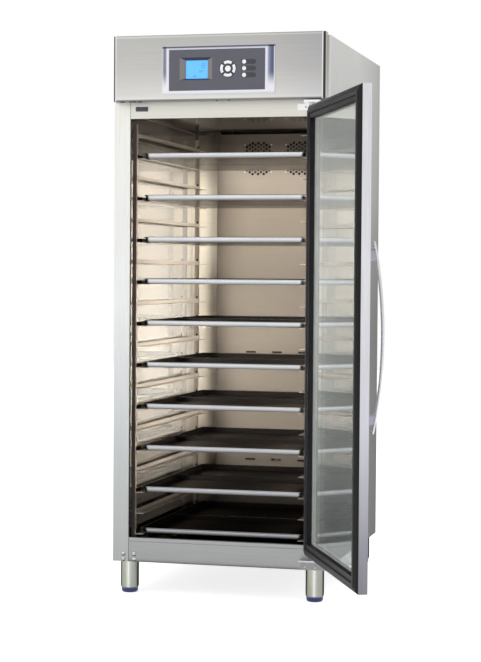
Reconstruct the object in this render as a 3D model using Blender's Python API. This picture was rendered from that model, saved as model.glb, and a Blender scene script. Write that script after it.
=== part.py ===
"""Proofing cabinet: an insulated cabinet on legs with a glazed door, for two rows of baking trays.

Lengths are in metres. X runs to the right, Y from the front to the back and Z up. Pieces are laid out
in cabinet places: X = 0 is the middle, Y = 0 the front face of the body and Z = 0 the floor. They all
hang on one empty that brings the sole of the front left foot to the world's origin.
"""

import math

import bmesh
import bpy
from mathutils import Matrix, Quaternion, Vector

for old in list(bpy.data.objects):
    bpy.data.objects.remove(old, do_unlink=True)

# Clearances and joining depths
GAP = 0.0003
BITE = 0.001
OVERRUN = 0.004
KEY_GAP = 0.0003
PIN_GAP = 0.0003
PIPE_GAP = 0.0004

# Trays and the two racks of runners
TRAY_WIDTH = 0.600
TRAY_LENGTH = 0.400
TRAY_HEIGHT = 0.020
TRAY_SHEET = 0.0015
TRAY_DRAFT = 0.002
TRAY_BEAD_WIDTH = 0.004
TRAY_BEAD_HEIGHT = 0.005
TRAY_CORNER = 0.022
TRAY_BETWEEN = 0.0053
TRAY_BEARING = 0.013
RUNNER_PITCH = 0.0755
RUNNER_LEVELS = 20
LEVELS_PER_TRAY = 2
RUNNER_FLANGE = 0.0312
RUNNER_WEB = 0.015
RUNNER_SHEET = 0.002
FIRST_TRAY_HEIGHT = 0.0392
UPRIGHT_WIDTH = 0.0114
UPRIGHT_DEPTH = 0.018
UPRIGHT_ABOVE_TOP_RUNNER = 0.048
RACK_SPACER = 0.0223
RACK_SPACER_RADIUS = 0.006
RACK_SPACER_SHARES = (0.08, 0.50, 0.92)
RACK_SETBACK = 0.022
TRAY_SETBACK = 0.045
RACK_BEHIND_TRAYS = 0.0077

# Insulated body
LINER_SHEET = 0.0012
SIDE_SHEET = 0.0012
REAR_SHEET = 0.0012
BASE_SHEET = 0.0012
SIDE_FOAM = 0.0411
REAR_FOAM = 0.0485
FLOOR_FOAM = 0.057
CEILING_FOAM = 0.0482
LEG_HEIGHT = 0.118
STILE_WIDTH = 0.0597
REAR_RETURN = 0.020
FRAME_DEPTH = 0.0165
FRAME_LIP = 0.0015
RAIL_SEAM = 0.0003
SILL = 0.0282
LINTEL = 0.019
ROOM_ABOVE_TOP_RUNNER = 0.0834
COMPARTMENT_HEIGHT = 0.2128

# Duct behind the trays, with the air panel and what it hides
TRAYS_TO_AIR_PANEL = 0.0282
AIR_PANEL_TO_LINER = 0.0565
AIR_PANEL_SHEET = 0.0012
AIR_PANEL_WIDTH = 0.500
AIR_PANEL_ABOVE_FLOOR = 0.012
AIR_PANEL_BELOW_CEILING = 0.016
FAN_SPACING = 0.170
FAN_BELOW_PANEL_TOP = 0.0925
PUNCH_RADIUS = 0.0085
PUNCH_PITCH = 0.0255
PUNCH_RINGS = 2
SLOT_WIDTH = 0.042
SLOT_HEIGHT = 0.008
SLOT_SPACING = 0.108
SLOT_OFF_CENTRE = 0.004
SLOT_ABOVE_PANEL_FOOT = (0.221, 0.656)
CABIN_FAN_RADIUS = 0.057
CABIN_FAN_HUB = 0.028
CABIN_FAN_DEPTH = 0.0285
CABIN_FAN_CHORD = 0.034
FAN_PIN_RADIUS = 0.004
FAN_PIN_LENGTH = 0.022
FAN_RUN_GAP = 0.0068
BLADE_SHEET = 0.0016
BLADE_COUNT = 5
BLADE_PITCH = math.radians(33)
EVAPORATOR_SIDE_ROOM = 0.030
EVAPORATOR_DEPTH = 0.0467
EVAPORATOR_HEIGHT = 0.500
EVAPORATOR_ABOVE_FLOOR = 0.772
EVAPORATOR_FIN_STEP = 0.040
EVAPORATOR_FIN_NOTCH = 0.006
PIPE_INSET = 0.020
PIPE_SPACING = 0.040
PIPE_BEHIND = 0.010
PIPE_SUNK = 0.010
SUCTION_PIPE_RADIUS = 0.006
LIQUID_PIPE_RADIUS = 0.004
PIPE_BEND = 0.028
LIQUID_PIPE_HEIGHT = 0.035
HUMIDIFIER_WIDTH = 0.220
HUMIDIFIER_DEPTH = 0.0427
HUMIDIFIER_HEIGHT = 0.180
HUMIDIFIER_ROUNDING = 0.006
STEAM_SPOUT_RADIUS = 0.012
STEAM_SPOUT_HEIGHT = 0.080
HEATER_FLANGE_RADIUS = 0.017
HEATER_FLANGE_DEPTH = 0.008
LAMP_HEIGHT = 0.850
LAMP_ABOVE_FLOOR = 0.522
LAMP_WIDTH = 0.025
LAMP_FROM_UPRIGHT = 0.035
LAMP_CLEARANCE = 0.0013
LAMP_CHAMFER = 0.004

# Head of the cabinet with the control panel
FASCIA_DEPTH = 0.0445
FASCIA_HEIGHT = 0.233
FASCIA_RISE = 0.008
FASCIA_INSET = 0.0076
FASCIA_ROUNDING = 0.012
FASCIA_SHEET = 0.0015
BEZEL_WIDTH = 0.411
BEZEL_HEIGHT = 0.1675
BEZEL_OFF_CENTRE = 0.0025
BEZEL_BELOW_TOP = 0.0425
BEZEL_PROUD = 0.0033
BEZEL_CHAMFER = 0.0014
BEZEL_LAP = 0.0033
BEZEL_LEFT_WING = 0.025
BEZEL_RIGHT_WING = 0.035
BEZEL_TOP_EDGE = 0.0105
BEZEL_FOOT_EDGE = 0.011
FACE_SUNK = 0.0015
FACE_SLOPE = 0.001
PANEL_BEHIND_FASCIA = 0.006
DISPLAY_MOUTH_LOW = (0.0642, 0.049)
DISPLAY_MOUTH = (0.1188, 0.079)
DISPLAY_LOW = (0.0850, 0.054)
DISPLAY_SIZE = (0.0805, 0.0645)
DISPLAY_SLOPE_DEPTH = 0.006
DISPLAY_LAP = 0.003
DISPLAY_THICKNESS = 0.005
PAD_FROM_LEFT = 0.2407
PAD_ABOVE_FOOT = 0.0865
PAD_OUTER_RADIUS = 0.0283
PAD_INNER_RADIUS = 0.0185
PAD_KEY_ANGLE = math.radians(70)
PAD_CENTRE_RADIUS = 0.0105
FUNCTION_KEY_FROM_LEFT = 0.2997
FUNCTION_KEY_SPACING = 0.02325
FUNCTION_KEY_RADIUS = 0.0075
KEY_PROUD = 0.001
KEY_LENGTH = 0.0075

# Cooling unit in the open compartment behind the fascia
COMPRESSOR_PLACE_Y = 0.500
COMPRESSOR_RADIUS = 0.078
COMPRESSOR_HEIGHT = 0.150
COMPRESSOR_FOOT = 0.012
COMPRESSOR_FOOT_RADIUS = 0.011
COMPRESSOR_PLATE = 0.004
COMPRESSOR_PLATE_SIZE = (0.170, 0.130)
COMPRESSOR_FOOT_INSET = 0.014
COMPRESSOR_PORT_HEIGHT = 0.080
COMPRESSOR_PROFILE_SHARES = (
    (0.72, 0.0),
    (0.96, 0.10),
    (1.0, 0.24),
    (1.0, 0.64),
    (0.93, 0.80),
    (0.66, 0.95),
    (0.28, 1.0),
)
CONDENSER_LEFT = -0.020
CONDENSER_WIDTH = 0.320
CONDENSER_FRONT = 0.600
CONDENSER_DEPTH = 0.040
CONDENSER_HEIGHT = 0.185
SHROUD_DEPTH = 0.050
SHROUD_SHEET = 0.002
DISCHARGE_PIPE_RADIUS = 0.005
CONDENSER_FAN_RADIUS = 0.080
CONDENSER_FAN_HUB = 0.032
CONDENSER_FAN_DEPTH = 0.034
CONDENSER_FAN_CHORD = 0.046

# Door, hung on two pins
REST_ANGLE = math.radians(114.4)
DOOR_INSET = 0.009
DOOR_ABOVE_UNDERSIDE = 0.053
DOOR_BELOW_FASCIA = 0.021
DOOR_STANDOFF = 0.006
INNER_FRAME_DEPTH = 0.0097
INNER_FRAME_BORDER = 0.050
INNER_FRAME_BEVEL = 0.010
INNER_FRAME_LIP = 0.0082
OUTER_FRAME_DEPTH = 0.030
OUTER_FRAME_ROUNDING = 0.0015
PIN_FROM_EDGE = 0.028
PIN_FROM_FACE = 0.010
PIN_WALL = 0.0057
PIN_RADIUS = 0.004
PIN_DEPTH = 0.030
PANE_THICKNESS = 0.004
PANE_MARGIN = 0.0005
SPACER_WIDTH = 0.0115
BREATHER = 0.003
SEAL_OUTSIDE_OPENING = 0.004
SEAL_WIDTH = 0.014
SEAL_AIR = 0.0005
SEAL_BULGE = 0.003
HANDLE_LENGTH = 0.601
HANDLE_MIDDLE_HEIGHT = 0.9675
HANDLE_REACH = 0.053
HANDLE_BOW = 0.031
HANDLE_BAR = 0.007
HANDLE_WIDTH = 0.022
HANDLE_FROM_EDGE = 0.035
HANDLE_STEPS = 12
STANDOFF_LENGTH = 0.036
STANDOFF_FROM_MIDDLE = 0.257
STANDOFF_WIDTH = 0.016
HINGE_PLATE = 0.003
HINGE_ARM = 0.0085
HINGE_ARM_WIDTH = 0.062
HINGE_ARM_REACH = 0.012
HINGE_BELOW_FASCIA = 0.004
HINGE_COLLAR_RADIUS = 0.008
TOP_PLATE_WIDTH = 0.0425
TOP_PLATE_HEIGHT = 0.021
TOP_PLATE_FROM_EDGE = 0.0725
TOP_PLATE_SHOULDER = 0.0025
FOOT_ARM = 0.006
FOOT_ARM_BELOW_DOOR = 0.013
FOOT_PLATE_WIDTH = 0.083
FOOT_PLATE_FROM_EDGE = 0.008
FOOT_PLATE_RISE = 0.0015

# Legs and their adjustable feet
LEG_INSET = 0.050
SLEEVE_RADIUS = 0.033
SLEEVE_SHEET = 0.0015
SLEEVE_CLEAR = 0.020
FOOT_RADIUS = 0.0302
FOOT_ROUNDING = 0.008
FOOT_TIP_HEIGHT = 0.055
FOOT_STEM_RADIUS = 0.008
FOOT_STEM_TOP = 0.112
BOSS_RADIUS = 0.015
BOSS_LENGTH = 0.048

# Facets of round pieces
ROUND_SIDES = 24
SMALL_SIDES = 12
PIPE_SIDES = 8
PUNCH_SIDES = 10
CORNER_STEPS = 3
ARC_STEPS = 6
SMOOTH_ANGLE = math.radians(35)

# Places across the cabinet, from its middle outwards
runner_edge = TRAY_WIDTH / 2 - TRAY_BEARING
upright_inner = runner_edge + RUNNER_FLANGE - BITE
upright_outer = upright_inner + UPRIGHT_WIDTH
liner_x = upright_outer + RACK_SPACER
liner_outer_x = liner_x + LINER_SHEET
foam_x = liner_outer_x + GAP + SIDE_FOAM
side_inner_x = foam_x + GAP
body_x = side_inner_x + SIDE_SHEET
opening_x = liner_x - FRAME_LIP
rail_x = body_x - STILE_WIDTH - 2 * RAIL_SEAM
fascia_x = body_x - FASCIA_INSET
door_x = body_x - DOOR_INSET
leg_x = body_x - LEG_INSET

# Places from the front to the back
frame_front = SIDE_SHEET + GAP
frame_back = frame_front + FRAME_DEPTH
liner_front = frame_back + GAP
trays_back = TRAY_SETBACK + 2 * TRAY_LENGTH + TRAY_BETWEEN
rack_back = trays_back + RACK_BEHIND_TRAYS
air_panel_y = trays_back + TRAYS_TO_AIR_PANEL
liner_y = air_panel_y + AIR_PANEL_TO_LINER
liner_outer_y = liner_y + LINER_SHEET
foam_y = liner_outer_y + GAP + REAR_FOAM
rear_front = foam_y + GAP
rear_back = rear_front + REAR_SHEET
body_y = rear_back + GAP + SIDE_SHEET
fascia_front = -FASCIA_DEPTH
leg_y = (LEG_INSET, body_y - LEG_INSET)

# Heights from the floor
base_top = LEG_HEIGHT + BASE_SHEET
foam_foot = base_top + GAP
liner_foot = foam_foot + FLOOR_FOAM + GAP
floor_z = liner_foot + LINER_SHEET
first_runner = floor_z + FIRST_TRAY_HEIGHT - GAP
top_runner = first_runner + (RUNNER_LEVELS - 1) * RUNNER_PITCH
ceiling_z = top_runner + ROOM_ABOVE_TOP_RUNNER
liner_top = ceiling_z + LINER_SHEET
foam_top = liner_top + GAP + CEILING_FOAM
deck_foot = foam_top + GAP
deck_top = deck_foot + REAR_SHEET
body_top = deck_top + COMPARTMENT_HEIGHT
fascia_top = body_top + FASCIA_RISE
fascia_foot = fascia_top - FASCIA_HEIGHT
opening_foot = floor_z + SILL
opening_top = ceiling_z - LINTEL
door_foot = LEG_HEIGHT + DOOR_ABOVE_UNDERSIDE
door_top = fascia_foot - DOOR_BELOW_FASCIA

# Door layers in the closed place, from the body outwards
inner_frame_back = -DOOR_STANDOFF
inner_frame_front = inner_frame_back - INNER_FRAME_DEPTH
outer_frame_back = inner_frame_front - GAP
door_front = outer_frame_back - OUTER_FRAME_DEPTH
lip_front = inner_frame_front - INNER_FRAME_LIP
outer_frame_border = PIN_FROM_EDGE + PIN_RADIUS + PIN_GAP + PIN_WALL
hinge_axis = Vector((door_x - PIN_FROM_EDGE, door_front + PIN_FROM_FACE, door_foot))

# Control panel places
bezel_left = BEZEL_OFF_CENTRE - BEZEL_WIDTH / 2
bezel_top = fascia_top - BEZEL_BELOW_TOP
bezel_foot = bezel_top - BEZEL_HEIGHT
panel_back = fascia_front + PANEL_BEHIND_FASCIA
bezel_back = fascia_front - GAP
bezel_front = bezel_back - BEZEL_PROUD
face_y = bezel_front + FACE_SUNK

ALONG = {"X": Vector((1, 0, 0)), "Y": Vector((0, 1, 0)), "Z": Vector((0, 0, 1))}


# Outlines and meshes

def lift(outline, axis, at):
    """Points of a flat outline, placed across an axis."""
    if axis == "X":
        return [Vector((at, a, b)) for a, b in outline]
    if axis == "Y":
        return [Vector((a, at, b)) for a, b in outline]
    return [Vector((a, b, at)) for a, b in outline]


def rectangle(low, high):
    return [(low[0], low[1]), (high[0], low[1]), (high[0], high[1]), (low[0], high[1])]


def rounded_rectangle(low, high, radius, steps=CORNER_STEPS):
    """A rectangle whose corners are arcs, counter-clockwise."""
    centres = rectangle((low[0] + radius, low[1] + radius), (high[0] - radius, high[1] - radius))
    outline = []
    for corner, centre in enumerate(centres):
        for step in range(steps + 1):
            angle = math.pi + (corner + step / steps) * math.pi / 2
            outline.append((centre[0] + radius * math.cos(angle), centre[1] + radius * math.sin(angle)))
    return outline


def sector(centre, inner, outer, middle, spread, steps=ARC_STEPS):
    """A ring's sector about a middle angle."""
    angles = [middle + spread * (step / steps - 1 / 2) for step in range(steps + 1)]
    out = [(centre[0] + outer * math.cos(a), centre[1] + outer * math.sin(a)) for a in angles]
    back = [(centre[0] + inner * math.cos(a), centre[1] + inner * math.sin(a)) for a in reversed(angles)]
    return out + back


def add_box(mesh, low, high):
    corners = bmesh.ops.create_cube(mesh, size=1)["verts"]
    bmesh.ops.scale(mesh, vec=[h - l for l, h in zip(low, high)], verts=corners)
    bmesh.ops.translate(mesh, vec=[(h + l) / 2 for l, h in zip(low, high)], verts=corners)
    return corners


def add_cylinder(mesh, start, end, radius, sides=ROUND_SIDES):
    """A round bar between the centres of its two end faces."""
    start, end = Vector(start), Vector(end)
    run = end - start
    made = bmesh.ops.create_cone(
        mesh, cap_ends=True, segments=sides, radius1=radius, radius2=radius, depth=run.length
    )["verts"]
    turn = ALONG["Z"].rotation_difference(run).to_matrix()
    bmesh.ops.rotate(mesh, matrix=turn, verts=made)
    bmesh.ops.translate(mesh, vec=(start + end) / 2, verts=made)
    return made


def add_prism(mesh, outline, axis, start, end):
    """A flat outline pushed out along an axis."""
    face = mesh.faces.new([mesh.verts.new(point) for point in lift(outline, axis, start)])
    pushed = bmesh.ops.extrude_face_region(mesh, geom=[face])["geom"]
    moved = [item for item in pushed if isinstance(item, bmesh.types.BMVert)]
    bmesh.ops.translate(mesh, vec=ALONG[axis] * (end - start), verts=moved)


def add_loft(mesh, loops, ring=False):
    """A skin over loops of points. Its ends are closed, or meet where it is a ring."""
    rows = [[mesh.verts.new(point) for point in loop] for loop in loops]
    pairs = list(zip(rows, rows[1:]))
    if ring:
        pairs.append((rows[-1], rows[0]))
    else:
        mesh.faces.new(rows[0])
        mesh.faces.new(rows[-1])
    for row, after in pairs:
        for here in range(len(row)):
            there = (here + 1) % len(row)
            mesh.faces.new((row[here], row[there], after[there], after[here]))


def add_turned(mesh, centre, profile, sides=ROUND_SIDES):
    """A turned shape about a vertical line, from radii and heights."""
    angles = [2 * math.pi * side / sides for side in range(sides)]
    loops = []
    for radius, height in profile:
        circle = [(centre[0] + radius * math.cos(a), centre[1] + radius * math.sin(a)) for a in angles]
        loops.append(lift(circle, "Z", height))
    add_loft(mesh, loops)


def bent_path(corners, radius, steps=CORNER_STEPS):
    """A path through corners that are rounded with one radius."""
    path = [Vector(corners[0])]
    for before, corner, after in zip(corners, corners[1:], corners[2:]):
        corner = Vector(corner)
        back = (Vector(before) - corner).normalized()
        ahead = (Vector(after) - corner).normalized()
        half = back.angle(ahead) / 2
        centre = corner + (back + ahead).normalized() * radius / math.sin(half)
        start = corner + back * radius / math.tan(half) - centre
        end = corner + ahead * radius / math.tan(half) - centre
        turn = start.rotation_difference(end)
        for step in range(steps + 1):
            path.append(centre + Quaternion().slerp(turn, step / steps) @ start)
    path.append(Vector(corners[-1]))
    return path


def add_tube(mesh, path, radius, sides=PIPE_SIDES):
    """A round bar along a path, mitred at each of its points."""
    runs = [(after - before).normalized() for before, after in zip(path, path[1:])]
    side = runs[0].orthogonal().normalized()
    circle = []
    for k in range(sides):
        circle.append(Matrix.Rotation(2 * math.pi * k / sides, 3, runs[0]) @ side * radius)
    loops = [[path[0] + point for point in circle]]
    for corner, run, after in zip(path[1:-1], runs, runs[1:]):
        mitre = (run + after).normalized()
        circle = [point - run * (point.dot(mitre) / run.dot(mitre)) for point in circle]
        loops.append([corner + point for point in circle])
        circle = [point - after * point.dot(after) for point in circle]
    loops.append([path[-1] + point for point in circle])
    add_loft(mesh, loops)


# Materials

def finish(name, colour, roughness, metallic=0, transmission=0):
    material = bpy.data.materials.new(name)
    material.use_nodes = True
    shader = material.node_tree.nodes["Principled BSDF"]
    shader.inputs["Base Color"].default_value = (*colour, 1)
    shader.inputs["Roughness"].default_value = roughness
    shader.inputs["Metallic"].default_value = metallic
    shader.inputs["Transmission Weight"].default_value = transmission
    material.diffuse_color = (*colour, 1)
    return material


satin_steel = finish("satin stainless steel", (0.60, 0.60, 0.57), 0.38, metallic=1)
fascia_steel = finish("fine brushed stainless steel", (0.52, 0.52, 0.49), 0.34, metallic=1)
bright_steel = finish("polished stainless steel", (0.62, 0.58, 0.50), 0.18, metallic=1)
zinc_steel = finish("zinc coated steel", (0.48, 0.50, 0.50), 0.48, metallic=1)
foam = finish("rigid foam", (0.78, 0.70, 0.46), 0.9)
panel_plastic = finish("dark slate plastic", (0.12, 0.12, 0.16), 0.4)
display_glass = finish("lit blue display", (0.13, 0.52, 1.0), 0.2)
key_plastic = finish("white key plastic", (0.82, 0.82, 0.85), 0.42)
compressor_enamel = finish("black enamel", (0.02, 0.02, 0.022), 0.35)
coil_aluminium = finish("finned aluminium", (0.66, 0.67, 0.68), 0.4, metallic=1)
fan_plastic = finish("black fan plastic", (0.03, 0.03, 0.03), 0.5)
lamp_plastic = finish("opal diffuser", (0.90, 0.86, 0.76), 0.35)
tray_aluminium = finish("drawn aluminium", (0.70, 0.70, 0.71), 0.32, metallic=1)
frame_aluminium = finish("anodised aluminium", (0.60, 0.60, 0.62), 0.36, metallic=1)
frame_plastic = finish("charcoal extrusion", (0.032, 0.031, 0.033), 0.45)
pane_glass = finish("clear float glass", (0.93, 0.96, 0.95), 0.02, transmission=1)
seal_rubber = finish("black silicone rubber", (0.02, 0.02, 0.022), 0.6)
handle_steel = finish("bright handle steel", (0.80, 0.80, 0.80), 0.22, metallic=1)
hinge_steel = finish("hinge steel", (0.70, 0.70, 0.70), 0.28, metallic=1)
foot_plastic = finish("blue foot plastic", (0.045, 0.055, 0.19), 0.42)


# Placing pieces

def add_empty(name, place, parent=None):
    empty = bpy.data.objects.new(name, None)
    bpy.context.scene.collection.objects.link(empty)
    empty.location = place
    empty.parent = parent
    return empty


cabinet = add_empty("cabinet", (leg_x, -LEG_INSET, 0))
door_hinge = add_empty("door_hinge", hinge_axis, cabinet)
door_hinge.rotation_euler.z = REST_ANGLE


def add_piece(name, mesh, material, at=(0, 0, 0), parent=cabinet):
    """An object with its origin at a cabinet place, from a mesh drawn in cabinet places."""
    bmesh.ops.recalc_face_normals(mesh, faces=mesh.faces)
    bmesh.ops.translate(mesh, vec=-Vector(at), verts=mesh.verts)
    data = bpy.data.meshes.new(name)
    mesh.to_mesh(data)
    mesh.free()
    if material:
        data.materials.append(material)
    data.shade_smooth()
    data.set_sharp_from_angle(angle=SMOOTH_ANGLE)
    piece = bpy.data.objects.new(name, data)
    bpy.context.scene.collection.objects.link(piece)
    piece.parent = parent
    piece.location = Vector(at) - parent.location if parent is door_hinge else Vector(at)
    return piece


def add_door_piece(name, mesh, material):
    return add_piece(name, mesh, material, hinge_axis, door_hinge)


def change(piece, tool_name, tool_mesh, operation, material=None):
    """Cuts a tool mesh out of a piece, or joins it on."""
    if piece.parent is door_hinge:
        tool = add_piece(tool_name, tool_mesh, material, hinge_axis, door_hinge)
    else:
        tool = add_piece(tool_name, tool_mesh, material)
    tool.hide_render = True
    tool.display_type = "WIRE"
    modifier = piece.modifiers.new(tool_name, "BOOLEAN")
    modifier.operation = operation
    modifier.solver = "EXACT"
    modifier.object = tool


def cut(piece, tool_name, tool_mesh):
    change(piece, tool_name, tool_mesh, "DIFFERENCE")


def join(piece, tool_name, tool_mesh):
    change(piece, tool_name, tool_mesh, "UNION", piece.data.materials[0])


# Body

def make_side_panels():
    """Sheets with a front return, which is the stile, and a narrow rear return."""
    stile_edge = body_x - STILE_WIDTH
    return_edge = body_x - REAR_RETURN
    outline = [
        (stile_edge, 0),
        (body_x, 0),
        (body_x, body_y),
        (return_edge, body_y),
        (return_edge, body_y - SIDE_SHEET),
        (side_inner_x, body_y - SIDE_SHEET),
        (side_inner_x, SIDE_SHEET),
        (stile_edge, SIDE_SHEET),
    ]
    for name, side in (("side_panel_left", -1), ("side_panel_right", 1)):
        mesh = bmesh.new()
        add_prism(mesh, [(side * x, y) for x, y in outline], "Z", LEG_HEIGHT, body_top)
        add_piece(name, mesh, satin_steel)


def make_rear_panel():
    """The back wall, bent forward at its top as the deck of the technical compartment."""
    mesh = bmesh.new()
    deck_front = frame_front + GAP
    outline = [
        (rear_back, LEG_HEIGHT),
        (rear_back, deck_top),
        (deck_front, deck_top),
        (deck_front, deck_foot),
        (rear_front, deck_foot),
        (rear_front, LEG_HEIGHT),
    ]
    add_prism(mesh, outline, "X", -foam_x, foam_x)
    panel = add_piece("rear_panel", mesh, zinc_steel)
    cut(panel, "rear_panel_pipe_holes", pipe_holes(deck_foot - OVERRUN, deck_top + OVERRUN))


def make_base_panel():
    """The bottom sheet with four leg sleeves, each round a threaded boss."""
    mesh = bmesh.new()
    add_box(mesh, (-foam_x, frame_front, LEG_HEIGHT), (foam_x, foam_y, base_top))
    panel = add_piece("base_panel", mesh, satin_steel)
    legs, hollows, bosses, bores = (bmesh.new() for _ in range(4))
    weld = LEG_HEIGHT + BASE_SHEET / 2
    for x in (-leg_x, leg_x):
        for y in leg_y:
            add_cylinder(legs, (x, y, SLEEVE_CLEAR), (x, y, weld), SLEEVE_RADIUS)
            add_cylinder(
                hollows, (x, y, SLEEVE_CLEAR - OVERRUN), (x, y, LEG_HEIGHT), SLEEVE_RADIUS - SLEEVE_SHEET
            )
            add_cylinder(bosses, (x, y, LEG_HEIGHT - BOSS_LENGTH), (x, y, weld), BOSS_RADIUS, SMALL_SIDES)
            add_cylinder(
                bores,
                (x, y, LEG_HEIGHT - BOSS_LENGTH - OVERRUN),
                (x, y, base_top + OVERRUN),
                FOOT_STEM_RADIUS + PIN_GAP,
                SMALL_SIDES,
            )
    join(panel, "leg_sleeves", legs)
    cut(panel, "leg_hollows", hollows)
    join(panel, "leg_bosses", bosses)
    cut(panel, "leg_bores", bores)


def add_open_box(mesh, outer_low, outer_high, inner_low, inner_high, front, outer_back, inner_back):
    """A box open to the front, drawn across Y from the outside in."""
    outer = rectangle(outer_low, outer_high)
    inner = rectangle(inner_low, inner_high)
    add_loft(mesh, [
        lift(outer, "Y", outer_back),
        lift(outer, "Y", front),
        lift(inner, "Y", front),
        lift(inner, "Y", inner_back),
    ])


def make_insulation():
    mesh = bmesh.new()
    add_open_box(
        mesh,
        (-foam_x, foam_foot),
        (foam_x, foam_top),
        (-liner_outer_x - GAP, liner_foot - GAP),
        (liner_outer_x + GAP, liner_top + GAP),
        liner_front,
        foam_y,
        liner_outer_y + GAP,
    )
    shell = add_piece("insulation_shell", mesh, foam)
    cut(shell, "insulation_pipe_holes", pipe_holes(liner_top - OVERRUN, foam_top + OVERRUN))


def make_liner():
    mesh = bmesh.new()
    add_open_box(
        mesh,
        (-liner_outer_x, liner_foot),
        (liner_outer_x, liner_top),
        (-liner_x, floor_z),
        (liner_x, ceiling_z),
        liner_front,
        liner_outer_y,
        liner_y,
    )
    liner = add_piece("inner_liner", mesh, bright_steel)
    cut(liner, "liner_pipe_holes", pipe_holes(ceiling_z - OVERRUN, liner_top + OVERRUN))


def make_front_frame():
    """The frame round the opening. Its two rails come forward between the stiles."""
    rail = [
        (-foam_x, frame_front),
        (-rail_x, frame_front),
        (-rail_x, 0),
        (rail_x, 0),
        (rail_x, frame_front),
        (foam_x, frame_front),
        (foam_x, frame_back),
        (-foam_x, frame_back),
    ]
    mesh = bmesh.new()
    add_prism(mesh, rail, "Z", foam_foot, opening_foot)
    add_prism(mesh, rail, "Z", opening_top, foam_top)
    frame = add_piece("front_frame", mesh, satin_steel)
    posts = bmesh.new()
    for side in (-1, 1):
        inner, outer = sorted((side * opening_x, side * foam_x))
        add_box(
            posts, (inner, frame_front, opening_foot - OVERRUN), (outer, frame_back, opening_top + OVERRUN)
        )
    join(frame, "front_frame_posts", posts)


# Racks and trays

def make_racks():
    foot = floor_z + GAP
    head = top_runner + UPRIGHT_ABOVE_TOP_RUNNER
    web_inner = upright_inner + BITE - RUNNER_SHEET
    web_outer = upright_inner + BITE
    for name, side in (("rack_left", -1), ("rack_right", 1)):
        uprights, runners, spacers = (bmesh.new() for _ in range(3))
        inner, outer = sorted((side * upright_inner, side * upright_outer))
        for front in (RACK_SETBACK, rack_back - UPRIGHT_DEPTH):
            add_box(uprights, (inner, front, foot), (outer, front + UPRIGHT_DEPTH, head))
            middle = front + UPRIGHT_DEPTH / 2
            for share in RACK_SPACER_SHARES:
                height = foot + share * (head - foot)
                add_cylinder(
                    spacers,
                    (side * (upright_outer - BITE), middle, height),
                    (side * (liner_x - GAP), middle, height),
                    RACK_SPACER_RADIUS,
                    SMALL_SIDES,
                )
        for level in range(RUNNER_LEVELS):
            shelf = first_runner + level * RUNNER_PITCH
            outline = [
                (side * runner_edge, shelf),
                (side * runner_edge, shelf - RUNNER_SHEET),
                (side * web_outer, shelf - RUNNER_SHEET),
                (side * web_outer, shelf - RUNNER_SHEET + RUNNER_WEB),
                (side * web_inner, shelf - RUNNER_SHEET + RUNNER_WEB),
                (side * web_inner, shelf),
            ]
            add_prism(runners, outline, "Y", RACK_SETBACK + BITE, rack_back - BITE)
        rack = add_piece(name, uprights, bright_steel)
        join(rack, name + "_runners", runners)
        join(rack, name + "_spacers", spacers)


def make_trays():
    """Two trays deep on every second runner. The tray's skin is drawn from its base up and back in."""
    inner_floor = TRAY_BEAD_WIDTH + TRAY_DRAFT + TRAY_SHEET
    skin = [
        (TRAY_BEAD_WIDTH + TRAY_DRAFT, 0),
        (TRAY_BEAD_WIDTH, TRAY_HEIGHT - TRAY_BEAD_HEIGHT),
        (0, TRAY_HEIGHT - TRAY_BEAD_HEIGHT),
        (0, TRAY_HEIGHT),
        (TRAY_BEAD_WIDTH + TRAY_SHEET, TRAY_HEIGHT),
        (inner_floor, TRAY_SHEET),
    ]
    for number in range(RUNNER_LEVELS // LEVELS_PER_TRAY):
        foot = first_runner + number * LEVELS_PER_TRAY * RUNNER_PITCH + GAP
        at = (0, TRAY_SETBACK, foot)
        for row, name in enumerate(("tray_front", "tray_rear")):
            front = TRAY_SETBACK + row * (TRAY_LENGTH + TRAY_BETWEEN)
            loops = []
            for inset, height in skin:
                outline = rounded_rectangle(
                    (-TRAY_WIDTH / 2 + inset, front + inset),
                    (TRAY_WIDTH / 2 - inset, front + TRAY_LENGTH - inset),
                    TRAY_CORNER - inset,
                    steps=2,
                )
                loops.append(lift(outline, "Z", foot + height))
            mesh = bmesh.new()
            add_loft(mesh, loops)
            add_piece(f"{name}_{number + 1:02d}", mesh, tray_aluminium, at)


# Duct behind the trays

pipe_y = liner_y - PIPE_BEHIND
evaporator_x = AIR_PANEL_WIDTH / 2 - EVAPORATOR_SIDE_ROOM
suction_x = -(evaporator_x - PIPE_INSET)
liquid_x = suction_x + PIPE_SPACING
unit_floor = deck_top + GAP
suction_z = unit_floor + COMPRESSOR_PORT_HEIGHT
liquid_z = unit_floor + LIQUID_PIPE_HEIGHT
air_panel_foot = floor_z + AIR_PANEL_ABOVE_FLOOR
air_panel_top = ceiling_z - AIR_PANEL_BELOW_CEILING
fan_z = air_panel_top - FAN_BELOW_PANEL_TOP
panel_back_face = air_panel_y + AIR_PANEL_SHEET


def pipe_holes(low, high):
    """Cutters for the two pipes that rise from the duct to the technical compartment."""
    mesh = bmesh.new()
    for x, radius in ((suction_x, SUCTION_PIPE_RADIUS), (liquid_x, LIQUID_PIPE_RADIUS)):
        add_cylinder(mesh, (x, pipe_y, low), (x, pipe_y, high), radius + PIPE_GAP, SMALL_SIDES)
    return mesh


def punched_places():
    """The holes of one round group on a hexagonal pattern, its middle left for the motor."""
    places = []
    for row in range(-PUNCH_RINGS, PUNCH_RINGS + 1):
        for column in range(-PUNCH_RINGS, PUNCH_RINGS + 1):
            if abs(row + column) <= PUNCH_RINGS and (row or column):
                across = PUNCH_PITCH * (column + row / 2)
                up = PUNCH_PITCH * row * math.sqrt(3) / 2
                places.append((across, up))
    return places


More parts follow.
